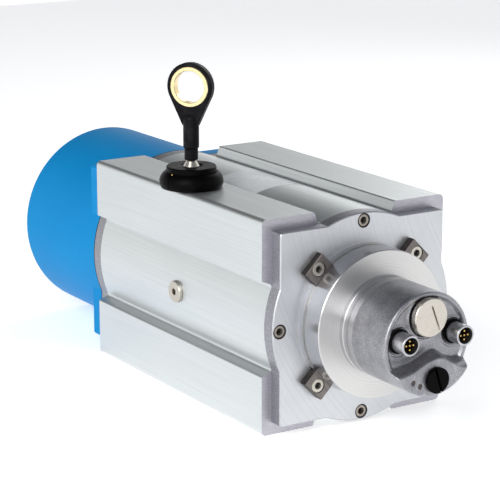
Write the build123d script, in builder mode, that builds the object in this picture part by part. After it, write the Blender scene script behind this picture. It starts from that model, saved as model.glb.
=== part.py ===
from build123d import *

import os
from math import acos, atan2, cos, pi, radians, sin, sqrt

# Draw-wire position encoder. Millimetres, +Z up, the encoder looks along -Y.
# The origin is the centre of the base: z = 0 is the underside of the housing's lower pads,
# x = 0 is its middle plane, and y = 0 is half-way along it, where the wire comes out.

# ---------------------------------------------------------------- driving dimensions
# Housing profile
housing_side = 130.0
housing_length = 198.0
housing_corner_radius = 3.0
side_arc_radius = 63.4          # arced middle of each side
pad_half_gap = 28.8             # half of the gap between the two corner pads of a side
pad_flank_draft = 2.8           # how far a pad's flank leans in on its way down to the arc
pad_edge_radius = 1.2
pad_root_radius = 2.0
drum_bore_radius = 55.2
corner_channel_radius = 8.0
corner_channel_offset = 50.0

# End plates, which share one outline
plate_half = 58.2
plate_thickness = 9.0
plate_corner_radius = 2.0
plate_edge_chamfer = 0.6
spigot_length = 6.0
spigot_clearance = 0.1
plate_screw_circle = 58.5       # radius to the four screws in the mid-sides
seal_cord_radius = 0.9

# Wire and drum
wire_diameter = 1.35
winding_radius = 52.4           # radius of the wire's centreline on the drum
measuring_length = 10000.0
wire_pitch = 1.5
drum_rim_height = 1.2           # rim above the wound wire
drum_rim_width = 3.0
drum_inner_radius = 46.0
drum_web_thickness = 8.0
drum_hub_radius = 13.0
drum_hub_length = 20.0
drum_window_radius = 7.5
neck_wall = 3.0

# Shaft, keys and traverse screw
shaft_radius = 7.0
shaft_journal_radius = 6.0
key_width = 4.0
key_depth = 2.2
key_height = 1.6                # key above the shaft's surface
traverse_radius = 15.0          # outside of the traverse screw's sleeve
traverse_bore_clearance = 1.0
traverse_flange_radius = 26.0
traverse_flange_thickness = 5.0
traverse_nut_length = 12.0
traverse_nut_wall = 4.0
traverse_screw_circle = 21.0

# Main bearings: bore, outside and width in mm
bearing_bore_radius = 6.0
bearing_outer_radius = 14.0
bearing_width = 8.0
bearing_ball_radius = 2.4
bearing_ball_count = 9
circlip_thickness = 1.2
circlip_groove_depth = 0.8

# Adapter flange and its clamps
adapter_radius = 45.0
adapter_length = 19.0
adapter_rim_thickness = 3.2
adapter_groove_width = 2.2
adapter_groove_depth = 1.6
adapter_body_radius = 44.6
adapter_register_radius = 30.0
adapter_register_depth = 2.0
adapter_cavity_radius = 24.0
adapter_web_thickness = 4.0
adapter_web_bore = 13.0
adapter_collar_radius = 30.1
adapter_collar_height = 3.5
clamp_circle = 49.65            # radius to the clamp screws
clamp_outer_radius = 54.6
clamp_width = 16.0
clamp_height = 5.4
clamp_tongue = 1.3              # how far the clamp reaches over the adapter's rim

# Encoder
encoder_radius = 29.7
encoder_base_length = 8.5
encoder_spigot_radius = 25.0
encoder_body_length = 31.5      # die-cast body, from its base ring to its front rim
encoder_wall = 3.7
encoder_face_depth = 1.7        # face below the front rim
encoder_face_thickness = 4.5
hump_height = 8.7               # lower hump above the face
rim_width = 2.4
encoder_edge_radius = 1.2
encoder_shaft_radius = 3.0
encoder_bearing_outer_radius = 9.5
encoder_bearing_width = 6.0
encoder_ball_radius = 1.75
encoder_ball_count = 8
code_disc_radius = 18.0
code_disc_thickness = 1.0
board_radius = 25.2
board_thickness = 1.6
board_post_circle = 22.0
board_post_radius = 1.25
encoder_screw_circle = 18.5     # radius to the three screws through the adapter's web
encoder_screw_length = 11.0

# Round connectors
connector_radius = 6.0
connector_bore_radius = 4.9
connector_shank_radius = 5.5    # behind the encoder's face and under the seal ring
connector_groove_length = 2.2   # seal ring's groove in front of the face
connector_cord_radius = 0.85
connector_edge_chamfer = 0.25
connector_offset_x = 19.2
connector_offset_z = 3.7        # above the shaft
connector_reach = 12.0          # beyond the encoder's face
connector_socket_depth = 8.0
connector_pin_radius = 0.5
connector_pin_circle = 2.5

# Blanking plug and switch cap
plug_offset_z = 15.4            # above the shaft
plug_head_radius = 11.4
plug_head_height = 3.6
plug_shank_radius = 9.8
plug_reach = 5.3                # head's face beyond the encoder's face
plug_slot_width = 1.1
plug_slot_depth = 2.4
plug_slot_cutter_radius = 13.7
plug_slot_offset_x = 3.0        # slot's middle from the plug's
plug_slot_offset_z = -0.5
plug_slot_tilt = 21.0           # degrees from upright, its foot towards +X
switch_cap_x = 1.4
switch_cap_z = -20.2            # from the shaft
switch_cap_radius = 7.6
switch_cap_shank_radius = 6.0
switch_cap_height = 2.7
switch_cap_edge_radius = 0.5
switch_cap_slot_width = 1.6
switch_cap_slot_depth = 1.4
switch_cap_slot_tilt = 18.0     # degrees from upright, its foot towards +X
switch_cap_shank_length = 7.5
light_circle = 24.3
light_angles = (234.0, 247.0)   # degrees round the shaft, from +X towards +Z
light_radius = 1.6
light_pipe_length = 6.6
light_recess = 0.4

# Spring housing
spring_gasket_thickness = 0.5
spring_housing_length = 102.5
spring_housing_wall = 3.6
spring_housing_edge_radius = 4.0
lug_length = 11.5
lug_screw_offset = 51.0
spring_strip_thickness = 0.8
spring_strip_width = 52.0
spring_turns = 8
arbor_radius = 14.0
arbor_length = 60.0
spring_start = 20.0             # from the rear plate to the arbor's near end
arbor_pin_radius = 2.0
anchor_pin_radius = 2.5

# Wire outlet
outlet_ring_radius = 19.6
outlet_ring_height = 9.6
outlet_ring_foot_radius = 18.6
wiper_radius = 15.4
wiper_height = 3.6
wiper_dish_depth = 1.1
wiper_bore_radius = 1.2
outlet_seam = 0.5               # split between the two halves of the seal and of the wiper
outlet_seam_angle = 13.0
guide_head_radius = 8.0
guide_head_length = 6.0
guide_radius = 5.0
guide_bore_radius = 1.5
guide_bottom_z = 95.0
wire_passage_radius = 2.2

# Wire end and pull eye
ferrule_gap = 0.4
ferrule_foot_radius = 4.9
ferrule_tip_radius = 2.6
ferrule_height = 4.3
stem_radius = 4.2
stem_height = 7.0
shank_radius = 4.9
shank_foot_chamfer = 0.5
shank_dome_z = 176.0
swivel_gap = 0.3
swivel_pin_radius = 2.0
swivel_head_radius = 3.2
swivel_head_height = 2.0
swivel_pin_length = 9.0
eye_height = 48.7               # eye's centre above the wiper
eye_radius = 14.7
eye_thickness = 5.2
eye_edge_radius = 0.8
eye_yaw = -54.0                 # the eye's face, turned from -Y towards -X, in degrees
bush_outer_radius = 12.3
bush_bore_radius = 9.75
bush_length = 5.8

# Side plug
side_plug_radius = 7.0
side_plug_washer_thickness = 1.0
side_plug_head_height = 1.6
side_plug_thread_radius = 4.0
side_plug_socket = 4.0          # across flats

# Rating label
label_width = 34.5
label_length = 48.0
label_thickness = 0.15
label_centre_x = -1.2
label_centre_y = 3.0

# Fasteners and fits
m5_radius = 2.5
m5_head_radius = 4.25
m5_head_height = 5.0
m5_socket = 4.0                 # across flats
m5_clear_radius = 2.75
counterbore_radius = 4.45
counterbore_depth = 5.4
m4_radius = 2.0
m4_head_radius = 3.5
m4_head_height = 4.0
m4_socket = 3.0
m4_clear_radius = 2.2
thread_clearance = 0.05
running_clearance = 0.05
base_hole_radius = 2.5
base_hole_pitch_x = 100.0
base_hole_pitch_y = 140.0
base_hole_depth = 12.0

# ---------------------------------------------------------------- places worked out from them
axis_z = housing_side / 2
front_y = -housing_length / 2
rear_y = housing_length / 2
front_plate_y = front_y - plate_thickness
rear_plate_y = rear_y + plate_thickness
adapter_face_y = front_plate_y - adapter_length
collar_y = adapter_face_y - adapter_collar_height
base_ring_y = collar_y - encoder_base_length
rim_y = base_ring_y - encoder_body_length
face_y = rim_y + encoder_face_depth
hump_y = face_y - hump_height
cup_start_y = rear_plate_y + spring_gasket_thickness
cup_end_y = cup_start_y + spring_housing_length
wire_radius = wire_diameter / 2
wire_x = -winding_radius
barrel_radius = winding_radius - wire_radius
rim_radius = winding_radius + wire_radius + drum_rim_height
spigot_radius = drum_bore_radius - spigot_clearance
front_bearing_y = front_y - 3.4      # bearing's front face
rear_bearing_y = rear_y + 4.4 - bearing_width
outlet_z = housing_side
wiper_z = outlet_z + outlet_ring_height
wiper_top_z = wiper_z + wiper_height
ferrule_z = wiper_top_z - wiper_dish_depth + ferrule_gap
stem_z = ferrule_z + ferrule_height
shank_z = stem_z + stem_height + swivel_gap
eye_z = wiper_top_z + eye_height
drum_turns = measuring_length / (2 * pi * winding_radius)
drum_travel = drum_turns * wire_pitch
winding_length = drum_travel + 2 * wire_pitch

# Planes and axes
shaft_axis = Axis((0, 0, axis_z), (0, 1, 0))
shaft_section = Plane(origin=(0, 0, axis_z), x_dir=(0, 1, 0), z_dir=(1, 0, 0))
wire_axis = Axis((wire_x, 0, 0), (0, 0, 1))
wire_section = Plane(origin=(wire_x, 0, 0), x_dir=(1, 0, 0), z_dir=(0, -1, 0))


def station(y, x=0.0, z=0.0):
    """Plane across the shaft at y, facing the front; its local x is X and its local y is Z."""
    return Plane(origin=(x, y, axis_z + z), x_dir=(1, 0, 0), z_dir=(0, -1, 0))


def rear_station(y, x=0.0, z=0.0):
    """Plane across the shaft at y, facing the rear."""
    return Plane(origin=(x, y, axis_z + z), x_dir=(-1, 0, 0), z_dir=(0, 1, 0))


def around(radius, count, start=0.0):
    """(x, z) places on a circle about the shaft, from an angle in degrees."""
    turns = [radians(start + 360 * i / count) for i in range(count)]
    return [(radius * cos(turn), radius * sin(turn)) for turn in turns]


def across_flats(size):
    """Outer radius of a hexagon of that size across its flats."""
    return size / sqrt(3)


def cap_screw(shank_radius, head_radius, head_height, socket, length):
    """A hexagon socket cap screw: seat at the origin, head above it, shank below it."""
    with BuildPart() as screw:
        with BuildSketch():
            Circle(head_radius)
        extrude(amount=head_height)
        fillet(screw.edges().group_by(Axis.Z)[-1], head_radius * 0.12)
        with BuildSketch(Plane.XY.offset(head_height)):
            RegularPolygon(across_flats(socket), 6)
        extrude(amount=-head_height * 0.55, mode=Mode.SUBTRACT)
        with BuildSketch():
            Circle(shank_radius)
        extrude(amount=-length)
        chamfer(screw.faces().sort_by(Axis.Z)[0].edges(), shank_radius * 0.2)
    return screw.part


def m5_screw(length):
    return cap_screw(m5_radius, m5_head_radius, m5_head_height, m5_socket, length)


def m4_screw(length):
    return cap_screw(m4_radius, m4_head_radius, m4_head_height, m4_socket, length)


encoder_screw_places = around(encoder_screw_circle, 3, 90)


def ball_ring(ball_radius, circle_radius, count, places):
    """Balls in rings about the shaft, one ring at each y."""
    with BuildPart() as balls:
        for y in places:
            for x, z in around(circle_radius, count):
                with Locations((x, y, axis_z + z)):
                    Sphere(ball_radius)
    return balls.part


def plate_outline():
    """Square with an arced bulge on each side, as both end plates and the gasket have it."""
    with BuildSketch() as outline:
        Rectangle(2 * plate_half, 2 * plate_half)
        fillet(outline.vertices(), plate_corner_radius)
        Circle(side_arc_radius)
    return outline.sketch


# ---------------------------------------------------------------- housing profile
flank_foot_x = pad_half_gap - pad_flank_draft
flank_foot_z = sqrt(side_arc_radius**2 - flank_foot_x**2)
pad_z = housing_side / 2


def corners_at(sketch, far, near):
    """The eight corners that lie far out along one axis and near out along the other."""
    spots = [(v, sorted((abs(v.X), abs(v.Y)))) for v in sketch.vertices()]
    return [v for v, (short, tall) in spots if abs(tall - far) < 0.01 and abs(short - near) < 0.01]


with BuildPart() as housing_profile:
    with BuildSketch(station(rear_y)) as section:
        Rectangle(housing_side, housing_side)
        fillet(section.vertices(), housing_corner_radius)
        with PolarLocations(0, 4):
            Polygon(
                (-pad_half_gap, pad_z),
                (-flank_foot_x, flank_foot_z),
                (flank_foot_x, flank_foot_z),
                (pad_half_gap, pad_z),
                align=None,
                mode=Mode.SUBTRACT,
            )
        Circle(side_arc_radius)
        fillet(corners_at(section, pad_z, pad_half_gap), pad_edge_radius)
        fillet(corners_at(section, flank_foot_z, flank_foot_x), pad_root_radius)
        Circle(drum_bore_radius, mode=Mode.SUBTRACT)
        with GridLocations(2 * corner_channel_offset, 2 * corner_channel_offset, 2, 2):
            Circle(corner_channel_radius, mode=Mode.SUBTRACT)
    extrude(amount=housing_length)
    # tapped holes for the end plates' screws
    tapped_depth = 16.0
    with BuildSketch(station(front_y)):
        with Locations(*around(plate_screw_circle, 4)):
            Circle(m5_radius + thread_clearance)
    extrude(amount=-tapped_depth, mode=Mode.SUBTRACT)
    with BuildSketch(rear_station(rear_y)):
        with Locations(*around(plate_screw_circle, 4)):
            Circle(m5_radius + thread_clearance)
    extrude(amount=-tapped_depth, mode=Mode.SUBTRACT)
    # wire outlet: a wide hole for the guide's head, a narrow one on down to the drum
    with BuildSketch(Plane(origin=(wire_x, 0, outlet_z))):
        Circle(guide_head_radius)
    extrude(amount=-guide_head_length, mode=Mode.SUBTRACT)
    with BuildSketch(Plane(origin=(wire_x, 0, outlet_z))):
        Circle(guide_radius)
    extrude(amount=-(outlet_z - guide_bottom_z + 1.0), mode=Mode.SUBTRACT)
    with BuildSketch(Plane(origin=(wire_x, 0, outlet_z))):
        Circle(wire_passage_radius)
    extrude(amount=-(outlet_z - axis_z - 6.0), mode=Mode.SUBTRACT)
    # side plug's thread
    with BuildSketch(Plane(origin=(-side_arc_radius - 1, 0, axis_z), z_dir=(-1, 0, 0))):
        Circle(side_plug_thread_radius + thread_clearance)
    extrude(amount=-(side_arc_radius + 1 - drum_bore_radius + 3), mode=Mode.SUBTRACT)
    # spot face under the side plug's washer
    with BuildSketch(Plane(origin=(-side_arc_radius - 1, 0, axis_z), z_dir=(-1, 0, 0))):
        Circle(side_plug_radius + 0.3)
    spot_depth = side_arc_radius - sqrt(side_arc_radius**2 - side_plug_radius**2)
    extrude(amount=-(1 + spot_depth), mode=Mode.SUBTRACT)
    # fixing holes in the lower pads
    with BuildSketch(Plane.XY):
        with GridLocations(base_hole_pitch_x, base_hole_pitch_y, 2, 2):
            Circle(base_hole_radius)
    extrude(amount=base_hole_depth, mode=Mode.SUBTRACT)
housing_profile.part.label = "housing_profile"

# ---------------------------------------------------------------- end plates
bearing_lip_radius = 9.0

with BuildPart() as front_end_plate:
    with BuildSketch(station(front_y)):
        add(plate_outline())
    extrude(amount=plate_thickness)
    chamfer(front_end_plate.faces().sort_by(Axis.Y)[0].edges(), plate_edge_chamfer)
    with BuildSketch(station(front_y + spigot_length)):
        Circle(spigot_radius)
    extrude(amount=spigot_length)
    with BuildSketch(station(front_y + spigot_length)):
        Circle(bearing_outer_radius)
    extrude(amount=front_y + spigot_length - front_bearing_y, mode=Mode.SUBTRACT)
    with BuildSketch(station(front_y + spigot_length)):
        Circle(bearing_lip_radius)
    extrude(amount=spigot_length + plate_thickness, mode=Mode.SUBTRACT)
    # register for the adapter flange
    with BuildSketch(station(front_plate_y)):
        Circle(adapter_register_radius + running_clearance)
    extrude(amount=-adapter_register_depth, mode=Mode.SUBTRACT)
    # screws into the housing, counterbored
    with Locations(*[station(front_plate_y, x, z) for x, z in around(plate_screw_circle, 4)]):
        CounterBoreHole(m5_clear_radius, counterbore_radius, counterbore_depth)
    # tapped holes for the clamps
    with Locations(*[station(front_plate_y, x, z) for x, z in around(clamp_circle, 4, 45)]):
        Hole(m5_radius + thread_clearance, depth=12.0)
    # tapped holes for the traverse screw's flange
    traverse_screw_places = around(traverse_screw_circle, 4, 45)
    with Locations(*[rear_station(front_y + spigot_length, x, z) for x, z in traverse_screw_places]):
        Hole(m4_radius + thread_clearance, depth=9.0)
    # seal groove round the spigot
    groove_y = front_y + spigot_length / 2
    with BuildSketch(shaft_section):
        with Locations((groove_y, spigot_radius)):
            Rectangle(2.6 * seal_cord_radius, 4 * seal_cord_radius)
    revolve(axis=shaft_axis, mode=Mode.SUBTRACT)
front_end_plate.part.label = "front_end_plate"

with BuildPart() as rear_end_plate:
    with BuildSketch(station(rear_plate_y)):
        add(plate_outline())
    extrude(amount=plate_thickness)
    chamfer(rear_end_plate.faces().sort_by(Axis.Y)[-1].edges(), 0.3)
    with BuildSketch(station(rear_y)):
        Circle(spigot_radius)
    extrude(amount=spigot_length)
    with BuildSketch(station(rear_bearing_y + bearing_width)):
        Circle(bearing_outer_radius)
    extrude(amount=rear_bearing_y + bearing_width - rear_y + spigot_length, mode=Mode.SUBTRACT)
    with BuildSketch(station(rear_plate_y)):
        Circle(bearing_lip_radius)
    extrude(amount=plate_thickness + spigot_length, mode=Mode.SUBTRACT)
    # groove for the bearing's circlip
    with BuildSketch(shaft_section):
        with Locations((rear_bearing_y - circlip_thickness / 2, bearing_outer_radius)):
            Rectangle(circlip_thickness, 2 * circlip_groove_depth)
    revolve(axis=shaft_axis, mode=Mode.SUBTRACT)
    # screws into the housing, counterbored
    with Locations(*[rear_station(rear_plate_y, x, z) for x, z in around(plate_screw_circle, 4)]):
        CounterBoreHole(m5_clear_radius, counterbore_radius, counterbore_depth)
    # tapped holes for the spring housing's screws
    with BuildSketch(rear_station(rear_plate_y)):
        with GridLocations(2 * lug_screw_offset, 2 * lug_screw_offset, 2, 2):
            Circle(m5_radius + thread_clearance)
    extrude(amount=-plate_thickness, mode=Mode.SUBTRACT)
    with BuildSketch(shaft_section):
        with Locations((rear_y - spigot_length / 2, spigot_radius)):
            Rectangle(2.6 * seal_cord_radius, 4 * seal_cord_radius)
    revolve(axis=shaft_axis, mode=Mode.SUBTRACT)
rear_end_plate.part.label = "rear_end_plate"

with BuildPart() as plate_seal_rings:
    for y in (groove_y, rear_y - spigot_length / 2):
        with BuildSketch(shaft_section):
            with Locations((y, drum_bore_radius - seal_cord_radius - 0.02)):
                Circle(seal_cord_radius)
        revolve(axis=shaft_axis)
plate_seal_rings.part.label = "plate_seal_rings"

plate_screw_length = 17.0
with BuildPart() as front_plate_screws:
    seat_y = front_plate_y + counterbore_depth
    with Locations(*[station(seat_y, x, z) for x, z in around(plate_screw_circle, 4)]):
        add(m5_screw(plate_screw_length))
front_plate_screws.part.label = "front_plate_screws"

with BuildPart() as rear_plate_screws:
    seat_y = rear_plate_y - counterbore_depth
    with Locations(*[rear_station(seat_y, x, z) for x, z in around(plate_screw_circle, 4)]):
        add(m5_screw(plate_screw_length))
rear_plate_screws.part.label = "rear_plate_screws"

# ---------------------------------------------------------------- adapter flange and clamps
groove_near_y = front_plate_y - adapter_rim_thickness
groove_far_y = groove_near_y - adapter_groove_width
adapter_web_y = adapter_face_y + 5.0       # front side of the web that the encoder is screwed to

with BuildPart() as adapter_flange:
    with BuildSketch(shaft_section):
        with BuildLine():
            Polyline(
                (front_plate_y + adapter_register_depth, adapter_cavity_radius),
                (front_plate_y + adapter_register_depth, adapter_register_radius),
                (front_plate_y, adapter_register_radius),
                (front_plate_y, adapter_radius),
                (groove_near_y, adapter_radius),
                (groove_near_y, adapter_radius - adapter_groove_depth),
                (groove_far_y, adapter_radius - adapter_groove_depth),
                (groove_far_y, adapter_body_radius),
                (adapter_face_y + 0.5, adapter_body_radius),
                (adapter_face_y, adapter_body_radius - 0.5),
                (adapter_face_y, adapter_collar_radius),
                (collar_y + 0.4, adapter_collar_radius),
                (collar_y, adapter_collar_radius - 0.4),
                (collar_y, encoder_spigot_radius + running_clearance),
                (adapter_web_y, encoder_spigot_radius + running_clearance),
                (adapter_web_y, adapter_web_bore),
                (adapter_web_y + adapter_web_thickness, adapter_web_bore),
                (adapter_web_y + adapter_web_thickness, adapter_cavity_radius),
                close=True,
            )
        make_face()
    revolve(axis=shaft_axis)
    with BuildSketch(station(adapter_web_y)):
        with Locations(*encoder_screw_places):
            Circle(m4_clear_radius)
    extrude(amount=-adapter_web_thickness, mode=Mode.SUBTRACT)
adapter_flange.part.label = "adapter_flange"


def clamp_block():
    """One clamp: its base at z = 0, its screw hole at the origin, the adapter towards -X."""
    inner = adapter_radius - clamp_tongue - clamp_circle - 3.0
    outer = clamp_outer_radius - clamp_circle
    tongue_base = adapter_rim_thickness + 0.1
    with BuildPart() as block:
        with BuildSketch():
            with Locations(((outer + inner) / 2, 0)):
                Rectangle(outer - inner, clamp_width)
        extrude(amount=clamp_height)
        chamfer(block.faces().sort_by(Axis.X)[-1].edges(), 0.5)
        # the hollow that follows the rim, and the tongue above it
        with BuildSketch():
            with Locations((-clamp_circle, 0)):
                Circle(adapter_radius + 0.25)
        extrude(amount=tongue_base, mode=Mode.SUBTRACT)
        with BuildSketch(Plane.XY.offset(tongue_base)):
            with Locations((-clamp_circle, 0)):
                Circle(adapter_radius - clamp_tongue)
        extrude(amount=clamp_height, mode=Mode.SUBTRACT)
        with BuildSketch(Plane.XY.offset(tongue_base + adapter_groove_width - 0.25)):
            with Locations((-clamp_circle, 0)):
                Circle(adapter_radius + 0.25)
        extrude(amount=clamp_height, mode=Mode.SUBTRACT)
        Hole(m5_clear_radius)
        with BuildSketch(Plane.XY.offset(clamp_height)):
            Circle(counterbore_radius)
        extrude(amount=-(clamp_height - 1.6), mode=Mode.SUBTRACT)
    return block.part


def clamp_place(turn, lift):
    """Place of a clamp on the front plate, turned about the shaft from +X."""
    x, z = clamp_circle * cos(radians(turn)), clamp_circle * sin(radians(turn))
    out = (cos(radians(turn)), 0, sin(radians(turn)))
    return Plane(origin=(x, front_plate_y - lift, axis_z + z), x_dir=out, z_dir=(0, -1, 0))


clamp_turns = (45, 135, 225, 315)
with BuildPart() as flange_clamps:
    with Locations(*[clamp_place(turn, 0) for turn in clamp_turns]):
        add(clamp_block())
flange_clamps.part.label = "flange_clamps"

with BuildPart() as clamp_screws:
    with Locations(*[clamp_place(turn, 1.6) for turn in clamp_turns]):
        add(cap_screw(m5_radius, m5_head_radius, 3.6, m5_socket, 11.0))
clamp_screws.part.label = "clamp_screws"

# ---------------------------------------------------------------- encoder
encoder_inner_radius = encoder_radius - encoder_wall
base_recess_radius = 12.5
base_hub_y = base_ring_y - 9.0              # front end of the bearing hub
base_pocket_y = collar_y - 0.5              # rear end of the bearing pocket
encoder_bearing_places = (base_pocket_y - encoder_bearing_width, base_hub_y)

with BuildPart() as encoder_base:
    with BuildSketch(shaft_section):
        with BuildLine():
            Polyline(
                (adapter_web_y, base_recess_radius),
                (adapter_web_y, encoder_spigot_radius),
                (collar_y, encoder_spigot_radius),
                (collar_y, encoder_radius),
                (collar_y - 3.0, encoder_radius),
                (collar_y - 3.0, encoder_radius - 0.8),
                (collar_y - 3.8, encoder_radius - 0.8),
                (collar_y - 3.8, encoder_radius),
                (base_ring_y, encoder_radius),
                (base_ring_y, encoder_inner_radius),
                (base_ring_y - 4.0, encoder_inner_radius),
                (base_ring_y - 4.0, encoder_inner_radius - 2.0),
                (base_ring_y, encoder_inner_radius - 2.0),
                (base_ring_y, encoder_bearing_outer_radius + 3.0),
                (base_hub_y, encoder_bearing_outer_radius + 3.0),
                (base_hub_y, encoder_bearing_outer_radius),
                (base_pocket_y, encoder_bearing_outer_radius),
                (base_pocket_y, 7.4),
                (base_pocket_y + 1.6, 7.4),
                (base_pocket_y + 1.6, base_recess_radius),
                close=True,
            )
        make_face()
    revolve(axis=shaft_axis)
    with Locations(*[rear_station(adapter_web_y, x, z) for x, z in encoder_screw_places]):
        Hole(m4_radius + thread_clearance, depth=encoder_screw_length - adapter_web_thickness + 1.0)
    with Locations(*[station(base_ring_y, x, z) for x, z in around(board_post_circle, 3, 30)]):
        Hole(board_post_radius + thread_clearance, depth=6.0)
encoder_base.part.label = "encoder_base"

with BuildPart() as encoder_mount_screws:
    with Locations(*[rear_station(adapter_web_y + adapter_web_thickness, x, z) for x, z in encoder_screw_places]):
        add(m4_screw(encoder_screw_length))
encoder_mount_screws.part.label = "encoder_mount_screws"

# Lower hump: its upper edge is a smooth wave between the connectors
hump_wave = [
    (-18.7, -15.1),
    (-11.0, -12.3),
    (-3.0, -9.0),
    (3.8, -8.2),
    (9.5, -10.6),
    (15.5, -14.1),
    (20.5, -15.6),
]
hump_end_heights = (-17.0, -16.6)
light_places = [around(light_circle, 1, turn)[0] for turn in light_angles]

with BuildPart() as hump:
    with BuildSketch(station(face_y + 1.0)):
        with BuildLine():
            left, right = hump_end_heights
            start = (-sqrt(encoder_radius**2 - left**2), left)
            end = (sqrt(encoder_radius**2 - right**2), right)
            Spline(start, *hump_wave, end)
            ThreePointArc(end, (0, -encoder_radius), start)
        make_face()
    extrude(amount=hump_height + 1.0)
    fillet(hump.faces().sort_by(Axis.Y)[0].edges(), encoder_edge_radius)

with BuildPart() as encoder_housing:
    with BuildSketch(station(base_ring_y)):
        Circle(encoder_radius)
    extrude(amount=encoder_body_length)
    fillet(encoder_housing.faces().sort_by(Axis.Y)[0].edges(), encoder_edge_radius * 0.8)
    with BuildSketch(station(rim_y)):
        Circle(encoder_radius - rim_width)
    extrude(amount=-encoder_face_depth, mode=Mode.SUBTRACT)
    add(hump.part)
    # inside
    with BuildSketch(station(base_ring_y)):
        Circle(encoder_inner_radius + running_clearance)
    extrude(amount=base_ring_y - face_y - encoder_face_thickness, mode=Mode.SUBTRACT)
    # openings in the face
    with Locations(*[station(face_y, side * connector_offset_x, connector_offset_z) for side in (-1, 1)]):
        Hole(connector_shank_radius, depth=30.0)
    with Locations(station(face_y, 0, plug_offset_z)):
        Hole(plug_shank_radius + thread_clearance, depth=30.0)
    with Locations(station(hump_y, switch_cap_x, switch_cap_z)):
        Hole(switch_cap_shank_radius + thread_clearance, depth=switch_cap_shank_length + 0.5)
    with Locations(*[station(hump_y, x, z) for x, z in light_places]):
        Hole(light_radius, depth=light_recess + light_pipe_length)
encoder_housing.part.label = "encoder_housing"

connector_places = [(side * connector_offset_x, connector_offset_z) for side in (-1, 1)]
connector_face_y = face_y - connector_reach
connector_groove_y = face_y - connector_groove_length
connector_rear_y = face_y + encoder_face_thickness + 2.0

with BuildPart() as connector_sleeves:
    with BuildSketch(station(connector_groove_y)):
        with Locations(*connector_places):
            Circle(connector_radius)
    extrude(amount=connector_groove_y - connector_face_y)
    chamfer(connector_sleeves.faces().sort_by(Axis.Y)[:2].edges(), connector_edge_chamfer)
    with BuildSketch(station(connector_rear_y)):
        with Locations(*connector_places):
            Circle(connector_shank_radius)
    extrude(amount=connector_rear_y - connector_groove_y)
    with BuildSketch(station(connector_rear_y)):
        with Locations(*connector_places):
            Circle(connector_bore_radius)
    extrude(amount=connector_rear_y - connector_face_y, mode=Mode.SUBTRACT)
connector_sleeves.part.label = "connector_sleeves"

ring_middle = connector_cord_radius + running_clearance
with BuildPart() as connector_seal_rings:
    for x, z in connector_places:
        ring_plane = Plane(origin=(x, 0, axis_z + z), x_dir=(0, 1, 0), z_dir=(1, 0, 0))
        with BuildSketch(ring_plane):
            with Locations((face_y - ring_middle, connector_shank_radius + ring_middle)):
                Circle(connector_cord_radius)
        revolve(axis=Axis((x, 0, axis_z + z), (0, 1, 0)))
connector_seal_rings.part.label = "connector_seal_rings"

insert_face_y = connector_face_y + connector_socket_depth
with BuildPart() as connector_inserts:
    with BuildSketch(station(connector_rear_y)):
        with Locations(*connector_places):
            Circle(connector_bore_radius)
    extrude(amount=connector_rear_y - insert_face_y)
    pin_places = [(x + px, z + pz) for x, z in connector_places
                  for px, pz in [(0, 0), *around(connector_pin_circle, 4)]]
    with BuildSketch(station(insert_face_y)):
        with Locations(*pin_places):
            Circle(connector_pin_radius)
    extrude(amount=-(connector_rear_y - insert_face_y), mode=Mode.SUBTRACT)
connector_inserts.part.label = "connector_inserts"

with BuildPart() as connector_pins:
    with BuildSketch(station(connector_rear_y + 1.0)):
        with Locations(*pin_places):
            Circle(connector_pin_radius)
    extrude(amount=connector_rear_y + 1.0 - connector_face_y - 1.2)
connector_pins.part.label = "connector_pins"

plug_face_y = face_y - plug_reach
with BuildPart() as blanking_plug:
    with BuildSketch(station(plug_face_y + plug_head_height, 0, plug_offset_z)):
        Circle(plug_head_radius)
    extrude(amount=plug_head_height)
    chamfer(blanking_plug.faces().sort_by(Axis.Y)[0].edges(), 0.5)
    with BuildSketch(station(face_y + encoder_face_thickness, 0, plug_offset_z)):
        Circle(plug_shank_radius)
    extrude(amount=face_y + encoder_face_thickness - plug_face_y - plug_head_height)
    # coin slot, cut with a round cutter
    tilt = radians(plug_slot_tilt)
    cutter_y = plug_face_y - plug_slot_cutter_radius + plug_slot_depth
    slot_middle = (plug_slot_offset_x, cutter_y, axis_z + plug_offset_z + plug_slot_offset_z)
    with BuildSketch(Plane(origin=slot_middle, x_dir=(0, 1, 0), z_dir=(cos(tilt), 0, sin(tilt)))):
        Circle(plug_slot_cutter_radius)
    extrude(amount=plug_slot_width / 2, both=True, mode=Mode.SUBTRACT)
blanking_plug.part.label = "blanking_plug"

with BuildPart() as plug_seal_ring:
    with BuildSketch(station(face_y, 0, plug_offset_z)):
        Circle(plug_head_radius - 0.4)
        Circle(plug_shank_radius + 0.1, mode=Mode.SUBTRACT)
    extrude(amount=plug_reach - plug_head_height)
plug_seal_ring.part.label = "plug_seal_ring"

with BuildPart() as switch_cap:
    with BuildSketch(station(hump_y, switch_cap_x, switch_cap_z)):
        Circle(switch_cap_radius)
    extrude(amount=switch_cap_height)
    fillet(switch_cap.faces().sort_by(Axis.Y)[0].edges(), switch_cap_edge_radius)
    with BuildSketch(station(hump_y + switch_cap_shank_length, switch_cap_x, switch_cap_z)):
        Circle(switch_cap_shank_radius)
    extrude(amount=switch_cap_shank_length)
    with BuildSketch(station(hump_y - switch_cap_height, switch_cap_x, switch_cap_z)):
        Rectangle(switch_cap_slot_width, 2 * switch_cap_radius + 1, rotation=switch_cap_slot_tilt)
    extrude(amount=-switch_cap_slot_depth, mode=Mode.SUBTRACT)
switch_cap.part.label = "switch_cap"

with BuildPart() as light_pipes:
    with BuildSketch(station(hump_y + light_recess + light_pipe_length)):
        with Locations(*light_places):
            Circle(light_radius)
    extrude(amount=light_pipe_length)
light_pipes.part.label = "light_pipes"

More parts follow.
